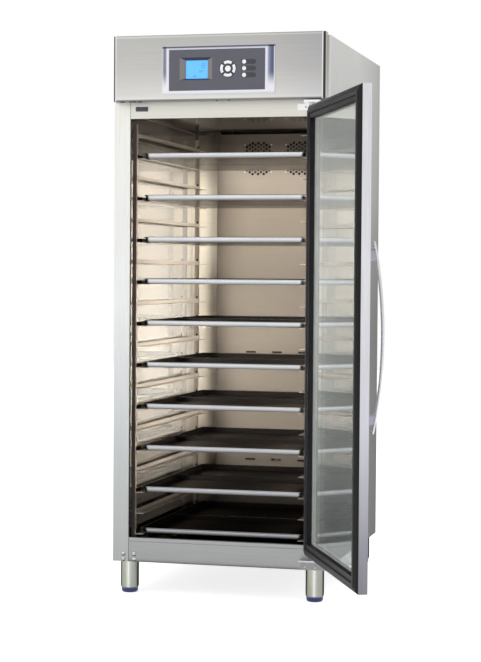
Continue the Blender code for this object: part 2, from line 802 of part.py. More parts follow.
def make_air_panel():
    half = AIR_PANEL_WIDTH / 2
    wall = half - AIR_PANEL_SHEET
    back = liner_y - GAP
    outline = [
        (-half, air_panel_y),
        (half, air_panel_y),
        (half, back),
        (wall, back),
        (wall, panel_back_face),
        (-wall, panel_back_face),
        (-wall, back),
        (-half, back),
    ]
    mesh = bmesh.new()
    add_prism(mesh, outline, "Z", air_panel_foot, air_panel_top)
    panel = add_piece("air_panel", mesh, bright_steel)
    holes, pins = bmesh.new(), bmesh.new()
    through = (air_panel_y - OVERRUN, panel_back_face + OVERRUN)
    for centre in (-FAN_SPACING / 2, FAN_SPACING / 2):
        for across, up in punched_places():
            x, z = centre + across, fan_z + up
            add_cylinder(holes, (x, through[0], z), (x, through[1], z), PUNCH_RADIUS, PUNCH_SIDES)
        add_cylinder(
            pins,
            (centre, panel_back_face - AIR_PANEL_SHEET / 2, fan_z),
            (centre, panel_back_face + FAN_PIN_LENGTH, fan_z),
            FAN_PIN_RADIUS,
            SMALL_SIDES,
        )
    for height in SLOT_ABOVE_PANEL_FOOT:
        for step in (-1, 0, 1):
            x = SLOT_OFF_CENTRE + step * SLOT_SPACING
            z = air_panel_foot + height
            slot = rounded_rectangle(
                (x - SLOT_WIDTH / 2, z - SLOT_HEIGHT / 2),
                (x + SLOT_WIDTH / 2, z + SLOT_HEIGHT / 2),
                SLOT_HEIGHT / 4,
                steps=1,
            )
            add_prism(holes, slot, "Y", *through)
    cut(panel, "air_panel_holes", holes)
    join(panel, "fan_motor_pins", pins)


def make_fan(name, centre, radius, hub, depth, chord, pin_length):
    """A fan on the Y axis. Its front face is at the centre point and its bore runs in from there."""
    x, front, z = centre
    mesh = bmesh.new()
    add_cylinder(mesh, (x, front, z), (x, front + depth, z), hub, ROUND_SIDES)
    blades = bmesh.new()
    for number in range(BLADE_COUNT):
        low = (hub - OVERRUN, -BLADE_SHEET / 2, -chord / 2)
        high = (radius, BLADE_SHEET / 2, chord / 2)
        blade = add_box(blades, low, high)
        bmesh.ops.rotate(blades, matrix=Matrix.Rotation(BLADE_PITCH, 3, "X"), verts=blade)
        around = Matrix.Rotation(2 * math.pi * number / BLADE_COUNT, 3, "Y")
        bmesh.ops.rotate(blades, matrix=around, verts=blade)
        bmesh.ops.translate(blades, vec=(x, front + depth / 2, z), verts=blade)
    bore = bmesh.new()
    add_cylinder(
        bore, (x, front - OVERRUN, z), (x, front + pin_length + GAP, z), FAN_PIN_RADIUS + PIN_GAP, SMALL_SIDES
    )
    fan = add_piece(name, mesh, fan_plastic, centre)
    join(fan, name + "_blades", blades)
    cut(fan, name + "_bore", bore)


def make_cabin_fans():
    front = panel_back_face + FAN_RUN_GAP
    for name, x in (("fan_left", -FAN_SPACING / 2), ("fan_right", FAN_SPACING / 2)):
        make_fan(
            name,
            (x, front, fan_z),
            CABIN_FAN_RADIUS,
            CABIN_FAN_HUB,
            CABIN_FAN_DEPTH,
            CABIN_FAN_CHORD,
            FAN_PIN_LENGTH - FAN_RUN_GAP,
        )


def make_evaporator():
    """The cooling coil on the liner's back wall, with its two pipes up to the compartment."""
    foot = floor_z + EVAPORATOR_ABOVE_FLOOR
    top = foot + EVAPORATOR_HEIGHT
    back = liner_y - GAP
    front = back - EVAPORATOR_DEPTH
    notches = int(EVAPORATOR_HEIGHT / EVAPORATOR_FIN_STEP)
    outline = [(back, foot), (back, top), (front, top)]
    for notch in range(1, notches):
        height = top - notch * EVAPORATOR_HEIGHT / notches
        outline.append((front, height + EVAPORATOR_FIN_NOTCH))
        outline.append((front + EVAPORATOR_FIN_NOTCH, height))
        outline.append((front, height - EVAPORATOR_FIN_NOTCH))
    outline.append((front, foot))
    mesh = bmesh.new()
    add_prism(mesh, outline, "X", -evaporator_x, evaporator_x)
    coil = add_piece("evaporator_coil", mesh, coil_aluminium)
    pipes = bmesh.new()
    compressor_back = COMPRESSOR_PLACE_Y + COMPRESSOR_RADIUS + GAP
    suction = [
        (suction_x, pipe_y, top - PIPE_SUNK),
        (suction_x, pipe_y, suction_z),
        (suction_x, compressor_back, suction_z),
    ]
    condenser_port = CONDENSER_FRONT + CONDENSER_DEPTH / 2
    liquid = [
        (liquid_x, pipe_y, top - PIPE_SUNK),
        (liquid_x, pipe_y, liquid_z),
        (liquid_x, condenser_port, liquid_z),
        (CONDENSER_LEFT - GAP, condenser_port, liquid_z),
    ]
    add_tube(pipes, bent_path(suction, PIPE_BEND), SUCTION_PIPE_RADIUS)
    add_tube(pipes, bent_path(liquid, PIPE_BEND), LIQUID_PIPE_RADIUS)
    join(coil, "evaporator_pipes", pipes)


def make_humidifier():
    """A boiler on the liner's floor, with a steam spout and the flange of its heater."""
    half = HUMIDIFIER_WIDTH / 2
    back = liner_y - GAP
    front = back - HUMIDIFIER_DEPTH
    foot = floor_z + GAP
    top = foot + HUMIDIFIER_HEIGHT
    middle = (front + back) / 2
    tank = rounded_rectangle((-half, front), (half, back), HUMIDIFIER_ROUNDING)
    mesh = bmesh.new()
    add_prism(mesh, tank, "Z", foot, top)
    boiler = add_piece("steam_humidifier", mesh, zinc_steel)
    fittings = bmesh.new()
    spout_top = top + STEAM_SPOUT_HEIGHT
    add_cylinder(fittings, (0, middle, top - BITE), (0, middle, spout_top), STEAM_SPOUT_RADIUS, SMALL_SIDES)
    heater_z = foot + HUMIDIFIER_HEIGHT / 2
    add_cylinder(
        fittings,
        (half - BITE, middle, heater_z),
        (half + HEATER_FLANGE_DEPTH, middle, heater_z),
        HEATER_FLANGE_RADIUS,
        SMALL_SIDES,
    )
    join(boiler, "humidifier_fittings", fittings)


def make_lamp():
    """A lamp batten on the right wall, behind the front upright of the rack."""
    outer = liner_x - GAP
    inner = upright_inner + BITE + LAMP_CLEARANCE
    front = RACK_SETBACK + UPRIGHT_DEPTH + LAMP_FROM_UPRIGHT
    back = front + LAMP_WIDTH
    outline = [
        (outer, front),
        (outer, back),
        (inner + LAMP_CHAMFER, back),
        (inner, back - LAMP_CHAMFER),
        (inner, front + LAMP_CHAMFER),
        (inner + LAMP_CHAMFER, front),
    ]
    mesh = bmesh.new()
    foot = floor_z + LAMP_ABOVE_FLOOR
    add_prism(mesh, outline, "Z", foot, foot + LAMP_HEIGHT)
    add_piece("cabinet_lamp", mesh, lamp_plastic)


# Head

def fascia_outline(inset, back):
    """The U of the fascia seen from above, round at its two front corners."""
    half = fascia_x - inset
    front = fascia_front + inset
    radius = FASCIA_ROUNDING - inset
    outline = [(-half, back)]
    for side, start in ((-1, math.pi), (1, math.pi * 3 / 2)):
        for step in range(CORNER_STEPS + 1):
            angle = start + step / CORNER_STEPS * math.pi / 2
            outline.append(
                (side * (half - radius) + radius * math.cos(angle), front + radius + radius * math.sin(angle))
            )
    outline.append((half, back))
    return outline


def make_fascia():
    mesh = bmesh.new()
    add_prism(mesh, fascia_outline(0, -GAP), "Z", fascia_foot, fascia_top)
    fascia = add_piece("fascia_panel", mesh, fascia_steel)
    hollow = bmesh.new()
    add_prism(
        hollow,
        fascia_outline(FASCIA_SHEET, OVERRUN),
        "Z",
        fascia_foot + FASCIA_SHEET,
        fascia_top - FASCIA_SHEET,
    )
    cut(fascia, "fascia_hollow", hollow)
    window = bmesh.new()
    add_box(
        window,
        (bezel_left + BEZEL_LAP, fascia_front - OVERRUN, bezel_foot + BEZEL_LAP),
        (
            bezel_left + BEZEL_WIDTH - BEZEL_LAP,
            fascia_front + FASCIA_SHEET + OVERRUN,
            bezel_top - BEZEL_LAP,
        ),
    )
    cut(fascia, "fascia_window", window)


def key_centres():
    """Places of the round pad and of the three function keys on the panel's face."""
    pad = (bezel_left + PAD_FROM_LEFT, bezel_foot + PAD_ABOVE_FOOT)
    column = bezel_left + FUNCTION_KEY_FROM_LEFT
    function_keys = [(column, pad[1] + step * FUNCTION_KEY_SPACING) for step in (1, 0, -1)]
    return pad, function_keys


PAD_KEYS = (("key_right", 0), ("key_up", math.pi / 2), ("key_left", math.pi), ("key_down", math.pi * 3 / 2))


def key_meshes(mesh_for, clearance, front, back):
    """Adds each key's shape, widened by a clearance, to the mesh that mesh_for gives for its name."""
    pad, function_keys = key_centres()
    for name, middle in PAD_KEYS:
        inner = PAD_INNER_RADIUS - clearance
        outer = PAD_OUTER_RADIUS + clearance
        spread = PAD_KEY_ANGLE + 2 * clearance / PAD_INNER_RADIUS
        add_prism(mesh_for(name), sector(pad, inner, outer, middle, spread), "Y", front, back)
    rounds = [("key_centre", pad, PAD_CENTRE_RADIUS)]
    for number, place in enumerate(function_keys):
        rounds.append((f"function_key_{number + 1}", place, FUNCTION_KEY_RADIUS))
    for name, (x, z), radius in rounds:
        add_cylinder(mesh_for(name), (x, front, z), (x, back, z), radius + clearance, ROUND_SIDES)


def make_control_panel():
    """A bezel lapped over the fascia's window, with a sunk dark face and a sloped display recess."""
    body_low = (bezel_left + BEZEL_LAP + GAP, bezel_foot + BEZEL_LAP + GAP)
    body_high = (bezel_left + BEZEL_WIDTH - BEZEL_LAP - GAP, bezel_top - BEZEL_LAP - GAP)
    bezel_low = (bezel_left, bezel_foot)
    bezel_high = (bezel_left + BEZEL_WIDTH, bezel_top)
    edge_low = [value + BEZEL_CHAMFER for value in bezel_low]
    edge_high = [value - BEZEL_CHAMFER for value in bezel_high]
    face_low = (bezel_left + BEZEL_LEFT_WING, bezel_foot + BEZEL_FOOT_EDGE)
    face_high = (bezel_left + BEZEL_WIDTH - BEZEL_RIGHT_WING, bezel_top - BEZEL_TOP_EDGE)
    sunk_low = [value + FACE_SLOPE for value in face_low]
    sunk_high = [value - FACE_SLOPE for value in face_high]
    mesh = bmesh.new()
    add_loft(mesh, [
        lift(rectangle(body_low, body_high), "Y", panel_back),
        lift(rectangle(body_low, body_high), "Y", bezel_back),
        lift(rectangle(bezel_low, bezel_high), "Y", bezel_back),
        lift(rectangle(bezel_low, bezel_high), "Y", bezel_front + BEZEL_CHAMFER),
        lift(rectangle(edge_low, edge_high), "Y", bezel_front),
        lift(rectangle(face_low, face_high), "Y", bezel_front),
        lift(rectangle(sunk_low, sunk_high), "Y", face_y),
    ])
    panel = add_piece("control_panel", mesh, panel_plastic)
    mouth = display_rectangle(DISPLAY_MOUTH_LOW, DISPLAY_MOUTH)
    screen = display_rectangle(DISPLAY_LOW, DISPLAY_SIZE)
    recess = bmesh.new()
    add_loft(recess, [
        lift(mouth, "Y", face_y - OVERRUN),
        lift(mouth, "Y", face_y),
        lift(screen, "Y", face_y + DISPLAY_SLOPE_DEPTH),
        lift(screen, "Y", panel_back + OVERRUN),
    ])
    cut(panel, "display_recess", recess)
    holes = bmesh.new()
    key_meshes(lambda name: holes, KEY_GAP, face_y - OVERRUN, panel_back + OVERRUN)
    cut(panel, "key_holes", holes)


def display_rectangle(low, size):
    """A rectangle placed from the bezel's lower left corner."""
    corner = (bezel_left + low[0], bezel_foot + low[1])
    return rectangle(corner, (corner[0] + size[0], corner[1] + size[1]))


def make_display():
    screen = display_rectangle(DISPLAY_LOW, DISPLAY_SIZE)
    low = (screen[0][0] - DISPLAY_LAP, panel_back + GAP, screen[0][1] - DISPLAY_LAP)
    high = (screen[2][0] + DISPLAY_LAP, panel_back + GAP + DISPLAY_THICKNESS, screen[2][1] + DISPLAY_LAP)
    mesh = bmesh.new()
    add_box(mesh, low, high)
    add_piece("lcd_screen", mesh, display_glass)


def make_keys():
    meshes = {}

    def mesh_for(name):
        return meshes.setdefault(name, bmesh.new())

    front = face_y - KEY_PROUD
    key_meshes(mesh_for, 0, front, front + KEY_LENGTH)
    for name, mesh in meshes.items():
        add_piece(name, mesh, key_plastic)


# Cooling unit

def make_compressor():
    x, y = suction_x, COMPRESSOR_PLACE_Y
    plate_foot = unit_floor + COMPRESSOR_FOOT - BITE
    pot_foot = plate_foot + COMPRESSOR_PLATE - BITE
    half_x, half_y = (size / 2 for size in COMPRESSOR_PLATE_SIZE)
    mesh = bmesh.new()
    add_box(
        mesh, (x - half_x, y - half_y, plate_foot), (x + half_x, y + half_y, plate_foot + COMPRESSOR_PLATE)
    )
    compressor = add_piece("compressor", mesh, compressor_enamel)
    feet, pot = bmesh.new(), bmesh.new()
    for side_x in (-1, 1):
        for side_y in (-1, 1):
            place_x = x + side_x * (half_x - COMPRESSOR_FOOT_INSET)
            place_y = y + side_y * (half_y - COMPRESSOR_FOOT_INSET)
            add_cylinder(
                feet,
                (place_x, place_y, unit_floor),
                (place_x, place_y, unit_floor + COMPRESSOR_FOOT),
                COMPRESSOR_FOOT_RADIUS,
                SMALL_SIDES,
            )
    profile = [
        (radius * COMPRESSOR_RADIUS, pot_foot + height * COMPRESSOR_HEIGHT)
        for radius, height in COMPRESSOR_PROFILE_SHARES
    ]
    add_turned(pot, (x, y), profile)
    join(compressor, "compressor_feet", feet)
    join(compressor, "compressor_pot", pot)


def make_condenser():
    """The warm coil with its fan shroud, the fan's pin and the discharge pipe."""
    left, right = CONDENSER_LEFT, CONDENSER_LEFT + CONDENSER_WIDTH
    front, back = CONDENSER_FRONT, CONDENSER_FRONT + CONDENSER_DEPTH
    foot, top = unit_floor, unit_floor + CONDENSER_HEIGHT
    mesh = bmesh.new()
    add_box(mesh, (left, front, foot), (right, back, top))
    coil = add_piece("condenser_coil", mesh, coil_aluminium)
    outer = rectangle((left, foot), (right, top))
    inner = rectangle((left + SHROUD_SHEET, foot + SHROUD_SHEET), (right - SHROUD_SHEET, top - SHROUD_SHEET))
    shroud = bmesh.new()
    add_loft(
        shroud,
        [
            lift(outer, "Y", back - BITE),
            lift(outer, "Y", back + SHROUD_DEPTH),
            lift(inner, "Y", back + SHROUD_DEPTH),
            lift(inner, "Y", back - BITE),
        ],
        ring=True,
    )
    join(coil, "condenser_shroud", shroud)
    fittings = bmesh.new()
    fan_x, fan_height = (left + right) / 2, (foot + top) / 2
    add_cylinder(
        fittings,
        (fan_x, back - BITE, fan_height),
        (fan_x, back + FAN_PIN_LENGTH, fan_height),
        FAN_PIN_RADIUS,
        SMALL_SIDES,
    )
    compressor_side = suction_x + COMPRESSOR_RADIUS + GAP
    between = (compressor_side + left) / 2
    middle = (front + back) / 2
    discharge = [
        (left + PIPE_SUNK, middle, suction_z),
        (between, middle, suction_z),
        (between, COMPRESSOR_PLACE_Y, suction_z),
        (compressor_side, COMPRESSOR_PLACE_Y, suction_z),
    ]
    add_tube(fittings, bent_path(discharge, PIPE_BEND), DISCHARGE_PIPE_RADIUS)
    join(coil, "condenser_fittings", fittings)
    make_fan(
        "condenser_fan",
        (fan_x, back + FAN_RUN_GAP, fan_height),
        CONDENSER_FAN_RADIUS,
        CONDENSER_FAN_HUB,
        CONDENSER_FAN_DEPTH,
        CONDENSER_FAN_CHORD,
        FAN_PIN_LENGTH - FAN_RUN_GAP,
    )


# Door

def door_ring(profile):
    """Loops round the door from insets off its edge and places across its thickness."""
    loops = []
    for inset, y in profile:
        outline = rectangle((-door_x + inset, door_foot + inset), (door_x - inset, door_top - inset))
        loops.append(lift(outline, "Y", y))
    return loops


def make_door_frames():
    mesh = bmesh.new()
    rounding = OUTER_FRAME_ROUNDING
    add_loft(
        mesh,
        door_ring([
            (0, outer_frame_back),
            (0, door_front + rounding),
            (rounding, door_front),
            (outer_frame_border, door_front),
            (outer_frame_border, outer_frame_back),
        ]),
        ring=True,
    )
    frame = add_door_piece("door_frame", mesh, frame_aluminium)
    bores = bmesh.new()
    x, y = hinge_axis.x, hinge_axis.y
    depth = PIN_DEPTH + GAP
    for start, end in ((door_top - depth, door_top + OVERRUN), (door_foot - OVERRUN, door_foot + depth)):
        add_cylinder(bores, (x, y, start), (x, y, end), PIN_RADIUS + PIN_GAP, SMALL_SIDES)
    cut(frame, "pin_bores", bores)
    mesh = bmesh.new()
    lip_inset = outer_frame_border + GAP
    add_loft(
        mesh,
        door_ring([
            (INNER_FRAME_BEVEL, inner_frame_back),
            (0, inner_frame_front),
            (lip_inset, inner_frame_front),
            (lip_inset, lip_front),
            (INNER_FRAME_BORDER, lip_front),
            (INNER_FRAME_BORDER, inner_frame_back),
        ]),
        ring=True,
    )
    add_door_piece("door_inner_frame", mesh, frame_plastic)


def make_glazing():
    """Two panes on a spacer, made as one sealed unit with a breather hole in its top edge."""
    edge = outer_frame_border + PANE_MARGIN
    back = lip_front - GAP
    outer = rectangle((-door_x + edge, door_foot + edge), (door_x - edge, door_top - edge))
    mesh = bmesh.new()
    add_prism(mesh, outer, "Y", door_front, back)
    unit = add_door_piece("glazing_unit", mesh, pane_glass)
    inset = edge + SPACER_WIDTH
    hollow = bmesh.new()
    add_box(
        hollow,
        (-door_x + inset, door_front + PANE_THICKNESS, door_foot + inset),
        (door_x - inset, back - PANE_THICKNESS, door_top - inset),
    )
    cut(unit, "glazing_hollow", hollow)
    breather = bmesh.new()
    middle = (door_front + back) / 2
    add_box(
        breather,
        (-BREATHER / 2, middle - BREATHER / 2, door_top - inset - OVERRUN),
        (BREATHER / 2, middle + BREATHER / 2, door_top - edge + OVERRUN),
    )
    cut(unit, "glazing_breather", breather)


def make_seal():
    """A rubber ring on the inner frame that meets the body round its opening."""
    inner_low = (-opening_x - SEAL_OUTSIDE_OPENING, opening_foot - SEAL_OUTSIDE_OPENING)
    inner_high = (opening_x + SEAL_OUTSIDE_OPENING, opening_top + SEAL_OUTSIDE_OPENING)

    def loop(outset, y):
        low = (inner_low[0] - outset, inner_low[1] - outset)
        high = (inner_high[0] + outset, inner_high[1] + outset)
        return lift(rectangle(low, high), "Y", y)

    seat = inner_frame_back + GAP
    mesh = bmesh.new()
    add_loft(
        mesh,
        [
            loop(0, seat),
            loop(SEAL_BULGE, -SEAL_AIR),
            loop(SEAL_WIDTH - SEAL_BULGE, -SEAL_AIR),
            loop(SEAL_WIDTH, seat),
        ],
        ring=True,
    )
    add_door_piece("door_seal", mesh, seal_rubber)


def make_handle():
    """A flat bar bowed outwards on two standoffs, near the door's free edge."""
    half = HANDLE_LENGTH / 2
    bow_radius = (half ** 2 + HANDLE_BOW ** 2) / (2 * HANDLE_BOW)

    def reach(height):
        """How far the bar's outer face stands off the door at a height from the bar's middle."""
        return HANDLE_REACH - bow_radius + math.sqrt(bow_radius ** 2 - height ** 2)

    heights = [half * (2 * step / HANDLE_STEPS - 1) for step in range(HANDLE_STEPS + 1)]
    outer = [(door_front - reach(h), HANDLE_MIDDLE_HEIGHT + h) for h in heights]
    inner = [(y + HANDLE_BAR, z) for y, z in reversed(outer)]
    middle = -door_x + HANDLE_FROM_EDGE
    mesh = bmesh.new()
    add_prism(mesh, outer + inner, "X", middle - HANDLE_WIDTH / 2, middle + HANDLE_WIDTH / 2)
    handle = add_door_piece("door_handle", mesh, handle_steel)
    standoffs = bmesh.new()
    for side in (-1, 1):
        near = STANDOFF_FROM_MIDDLE - STANDOFF_LENGTH / 2
        far = STANDOFF_FROM_MIDDLE + STANDOFF_LENGTH / 2
        head = HANDLE_BAR / 2
        outline = [
            (door_front - GAP, HANDLE_MIDDLE_HEIGHT + side * near),
            (door_front - reach(near) + head, HANDLE_MIDDLE_HEIGHT + side * near),
            (door_front - reach(far) + head, HANDLE_MIDDLE_HEIGHT + side * far),
            (door_front - GAP, HANDLE_MIDDLE_HEIGHT + side * far),
        ]
        add_prism(standoffs, outline, "X", middle - STANDOFF_WIDTH / 2, middle + STANDOFF_WIDTH / 2)
    join(handle, "handle_standoffs", standoffs)


def make_hinges():
    """Brackets on the body whose pins reach into the door from above and below."""
    x, y = hinge_axis.x, hinge_axis.y
    arm_front = y - HINGE_ARM_REACH
    arm_right = x + HINGE_ARM_REACH
    arm_left = arm_right - HINGE_ARM_WIDTH
    arm_top = fascia_foot - HINGE_BELOW_FASCIA
    arm_foot = arm_top - HINGE_ARM
    plate_right = body_x - TOP_PLATE_FROM_EDGE
    plate_left = plate_right - TOP_PLATE_WIDTH
    plate_top = arm_foot - TOP_PLATE_SHOULDER
    plate_foot = plate_top - TOP_PLATE_HEIGHT
    mesh = bmesh.new()
    add_box(mesh, (arm_left, arm_front, arm_foot), (arm_right, -GAP, arm_top))
    bracket = add_piece("hinge_top", mesh, hinge_steel)
    fittings = bmesh.new()
    add_box(fittings, (plate_left, -GAP - HINGE_PLATE, plate_foot), (plate_right, -GAP, plate_top))
    neck = bmesh.new()
    add_box(
        neck,
        (arm_left + BITE, -GAP - HINGE_PLATE + BITE / 2, plate_top - OVERRUN),
        (plate_right - BITE, -GAP - BITE / 2, arm_foot + OVERRUN),
    )
    pin = bmesh.new()
    add_cylinder(pin, (x, y, door_top - PIN_DEPTH), (x, y, arm_foot + OVERRUN), PIN_RADIUS, SMALL_SIDES)
    collar = bmesh.new()
    add_cylinder(collar, (x, y, door_top + GAP), (x, y, arm_foot + BITE), HINGE_COLLAR_RADIUS, SMALL_SIDES)
    for name, tool in (("plate", fittings), ("neck", neck), ("pin", pin), ("collar", collar)):
        join(bracket, "hinge_top_" + name, tool)

    arm_top = door_foot - FOOT_ARM_BELOW_DOOR
    arm_foot = arm_top - FOOT_ARM
    plate_right = body_x - FOOT_PLATE_FROM_EDGE
    plate_left = plate_right - FOOT_PLATE_WIDTH
    mesh = bmesh.new()
    outline = [
        (-GAP, LEG_HEIGHT + FOOT_PLATE_RISE),
        (-GAP, arm_top),
        (arm_front, arm_top),
        (arm_front, arm_foot),
        (-GAP - HINGE_PLATE, arm_foot),
        (-GAP - HINGE_PLATE, LEG_HEIGHT + FOOT_PLATE_RISE),
    ]
    add_prism(mesh, outline, "X", plate_left, plate_right)
    bracket = add_piece("hinge_bottom", mesh, hinge_steel)
    pin, collar = bmesh.new(), bmesh.new()
    add_cylinder(pin, (x, y, arm_top - FOOT_ARM / 2), (x, y, door_foot + PIN_DEPTH), PIN_RADIUS, SMALL_SIDES)
    add_cylinder(collar, (x, y, arm_top - BITE), (x, y, door_foot - GAP), HINGE_COLLAR_RADIUS, SMALL_SIDES)
    join(bracket, "hinge_bottom_pin", pin)
    join(bracket, "hinge_bottom_collar", collar)


# Feet

def make_feet():
    profile = [
        (FOOT_RADIUS - FOOT_ROUNDING, 0),
        (FOOT_RADIUS - FOOT_ROUNDING * 2 / 5, FOOT_ROUNDING / 4),
        (FOOT_RADIUS, FOOT_ROUNDING),
        (FOOT_RADIUS, FOOT_TIP_HEIGHT),
        (FOOT_STEM_RADIUS, FOOT_TIP_HEIGHT),
        (FOOT_STEM_RADIUS, FOOT_STEM_TOP),
    ]
    for row, y in zip(("front", "rear"), leg_y):
        for side, x in (("left", -leg_x), ("right", leg_x)):
            mesh = bmesh.new()
            add_turned(mesh, (x, y), profile)
            add_piece(f"foot_{row}_{side}", mesh, foot_plastic, (x, y, 0))


make_side_panels()
make_rear_panel()
make_base_panel()
make_insulation()
make_liner()
make_front_frame()
make_racks()
make_trays()
make_air_panel()
make_cabin_fans()
make_evaporator()
make_humidifier()
make_lamp()
make_fascia()
make_control_panel()
make_display()
make_keys()
make_compressor()
make_condenser()
make_door_frames()
make_glazing()
make_seal()
make_handle()
make_hinges()
make_feet()
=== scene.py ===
"""Looks of the proofing cabinet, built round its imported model.

Lengths are in metres. Places are given as on the cabinet: X = 0 is its middle, Y = 0 the front face of its
body and Z = 0 the floor. spot() turns them into the model's own frame. Door pieces are drawn on the shut
door and then turned to where it rests.
"""

import math

import bmesh
import bpy
from mathutils import Matrix, Vector


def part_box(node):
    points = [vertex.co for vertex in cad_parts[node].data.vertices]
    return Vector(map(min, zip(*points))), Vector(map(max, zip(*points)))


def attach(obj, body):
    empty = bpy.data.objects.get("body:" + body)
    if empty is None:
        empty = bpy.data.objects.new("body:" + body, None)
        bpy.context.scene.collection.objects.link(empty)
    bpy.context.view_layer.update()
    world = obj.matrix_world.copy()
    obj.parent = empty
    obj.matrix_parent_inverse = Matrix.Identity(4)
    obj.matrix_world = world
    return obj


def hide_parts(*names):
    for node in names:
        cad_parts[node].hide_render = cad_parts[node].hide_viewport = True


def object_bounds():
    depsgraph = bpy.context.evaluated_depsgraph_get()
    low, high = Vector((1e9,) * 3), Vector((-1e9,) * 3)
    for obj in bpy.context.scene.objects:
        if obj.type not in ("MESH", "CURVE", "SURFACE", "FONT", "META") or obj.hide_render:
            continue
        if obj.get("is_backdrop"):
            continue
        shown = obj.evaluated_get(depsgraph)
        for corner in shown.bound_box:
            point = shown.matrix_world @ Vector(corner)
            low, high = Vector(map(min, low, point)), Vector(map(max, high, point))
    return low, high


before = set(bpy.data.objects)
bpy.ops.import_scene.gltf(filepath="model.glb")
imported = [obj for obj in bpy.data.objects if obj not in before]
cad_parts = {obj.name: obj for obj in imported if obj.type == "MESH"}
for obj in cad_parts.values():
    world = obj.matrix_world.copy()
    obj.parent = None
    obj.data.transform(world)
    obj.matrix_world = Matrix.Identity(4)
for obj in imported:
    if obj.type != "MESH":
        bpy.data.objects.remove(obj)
cad_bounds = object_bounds()

# The cabinet's middle and front face in the model's frame
MIDDLE = 0.345
FRONT = -0.05

# Facets
ROUND = 32
SMALL = 16
SMOOTH = math.radians(38)
STEEP = math.radians(60)
BEND_STEPS = 6

# The distance at which places count as the same, and the cosine from which a face or edge looks along an axis
TOUCH = 1e-5
FACING = 0.9

# Radii of softened edges, and the width of a pressed panel's slope
EDGE = 0.0004
BLUNT = 0.0008
PRESS_SLOPE = 0.006

# Body
BODY_X = 0.395
BODY_Y = 0.988
BODY_FOOT = 0.118
BODY_TOP = 1.9988
STILE_X = 0.3353
STILE_RETURN = 0.014
REAR_RETURN_X = 0.375
SHEET = 0.0012
FOLD = 0.0022
RAIL_X = 0.3345
RAIL_DEPTH = 0.0162
OPENING_FOOT = 0.2062
OPENING_TOP = 1.7158
RAIL_TOP = 1.7843
RAIL_FOOT = 0.1197
SILL_SEAM = 0.0132
SEAM = 0.0003
POST_X = 0.3494
FOAM_X = 0.3932
COVE = 0.012
DECK_FOOT = 1.7849
DECK_TOP = 1.786
REAR_WALL_Y = 0.9853
BEHIND_FRONT = 0.0018
# The pressed panels of the rear wall and the base: how far from the edge, and how deep
REAR_PRESS = (0.045, 0.0008)
BASE_PRESS = (0.09, 0.0006)

# Racks and trays
RUNNER_LEVELS = 20
RUNNER_PITCH = 0.0755
FIRST_RUNNER = 0.2169
RUNNER_EDGE = 0.2870
RUNNER_BACK = 0.3181
RUNNER_WEB = 0.013
RUNNER_SHEET = 0.0018
RUNNER_FOLD = 0.0012
# How far back from the front the painted shade on the runners reaches
RUNNER_SHADE_REACH = 0.085
RACK_FRONT = 0.0232
RACK_BACK = 0.8568
UPRIGHT_INNER = 0.3175
UPRIGHT_OUTER = 0.3325
UPRIGHT_FOOT = 0.1785
UPRIGHT_TOP = 1.6992
UPRIGHT_DEPTH = 0.018
UPRIGHT_SHEET = 0.0015
UPRIGHT_FOLD = 0.0018
UPRIGHT_FRONTS = (0.0222, 0.8398)
WALL_X = 0.3508
SPACER_RADIUS = 0.006
SPACER_HEIGHTS = (0.300, 0.939, 1.578)
STOP_SIZE = (0.006, 0.004, 0.008)
TRAY_HALF = 0.300
TRAY_DEPTH = 0.400
TRAY_FRONTS = (0.045, 0.4503)
TRAY_CORNER = 0.021
TRAY_FOOT = 0.2172
TRAY_LEVELS = 10
TRAY_PITCH = 0.151
TRAY_SHEET = 0.0012
TRAY_INSET = 0.0065
# How far in and how high the tray's wall and rolled rim lie, from the floor up
TRAY_RISES = (
    (0.0062, 0.0006), (0.0058, 0.0016), (0.0045, 0.0158), (0.0030, 0.0152), (0.0012, 0.0156),
    (0.0001, 0.0172), (0.0003, 0.0188), (0.0018, 0.0199), (0.0036, 0.0198),
)

# Legs
LEG_X = 0.345
LEG_YS = (0.050, 0.938)
LEG_RADIUS = 0.033
LEG_DRAWN_IN = 0.0315
LEG_LOW = 0.020
LEG_SIDES = 48
LEG_WALL = 0.0015
FOOT_RIM = 0.0156

# Duct behind the trays: its panel, the fans and the punched holes, in staggered columns, and slots
PANEL_HALF = 0.25
PANEL_FRONT = 0.8785
PANEL_FOOT = 0.190
PANEL_TOP = 1.7240
FAN_X = 0.085
FAN_Z = 1.6263
VENT_RADIUS = 0.0056
VENT_COLUMN = 0.0116
VENT_PITCH = 0.0155
VENT_REACH = 0.0695
VENT_SCREW = 0.055
VENT_OFF_CENTRE = 0.005
VENT_SLOT = (0.042, 0.008)
VENT_SLOT_XS = (-0.104, 0.004, 0.112)
VENT_SLOT_ZS = (0.411, 0.846)
DUCT_BACK = 0.9345
BLADES = 5
FAN_PIN = 0.0039
# Radius, hub and depth of the fans' wheels
FAN_WHEEL = (0.057, 0.028, 0.0285)
CONDENSER_WHEEL = (0.080, 0.032, 0.034)

# Pipes, coils and cooling unit
PIPE_Y = 0.925
SUCTION_X = -0.20
LIQUID_X = -0.16
UNIT_FLOOR = 1.7863
PORT_Z = 1.8663
LIQUID_Z = 1.8213
CONDENSER = ((-0.020, 0.600, UNIT_FLOOR), (0.300, 0.640, 1.9713))
SHROUD_BACK = 0.690
CONDENSER_FAN = (0.140, 0.6468, 1.8788)
PIPE_TURN = 1.46
PIPE_BEND = 0.028
SUCTION_RADIUS = 0.006
LIQUID_RADIUS = 0.004
DISCHARGE_RADIUS = 0.005
LINE_Y = 0.62
COIL_Y = 0.9027
COIL_PORT = 1.424
HAIRPIN = 0.012
FIN = 0.0003
EVAPORATOR = ((-0.2198, 0.8885, 0.951), (0.2198, 0.9170, 1.449))
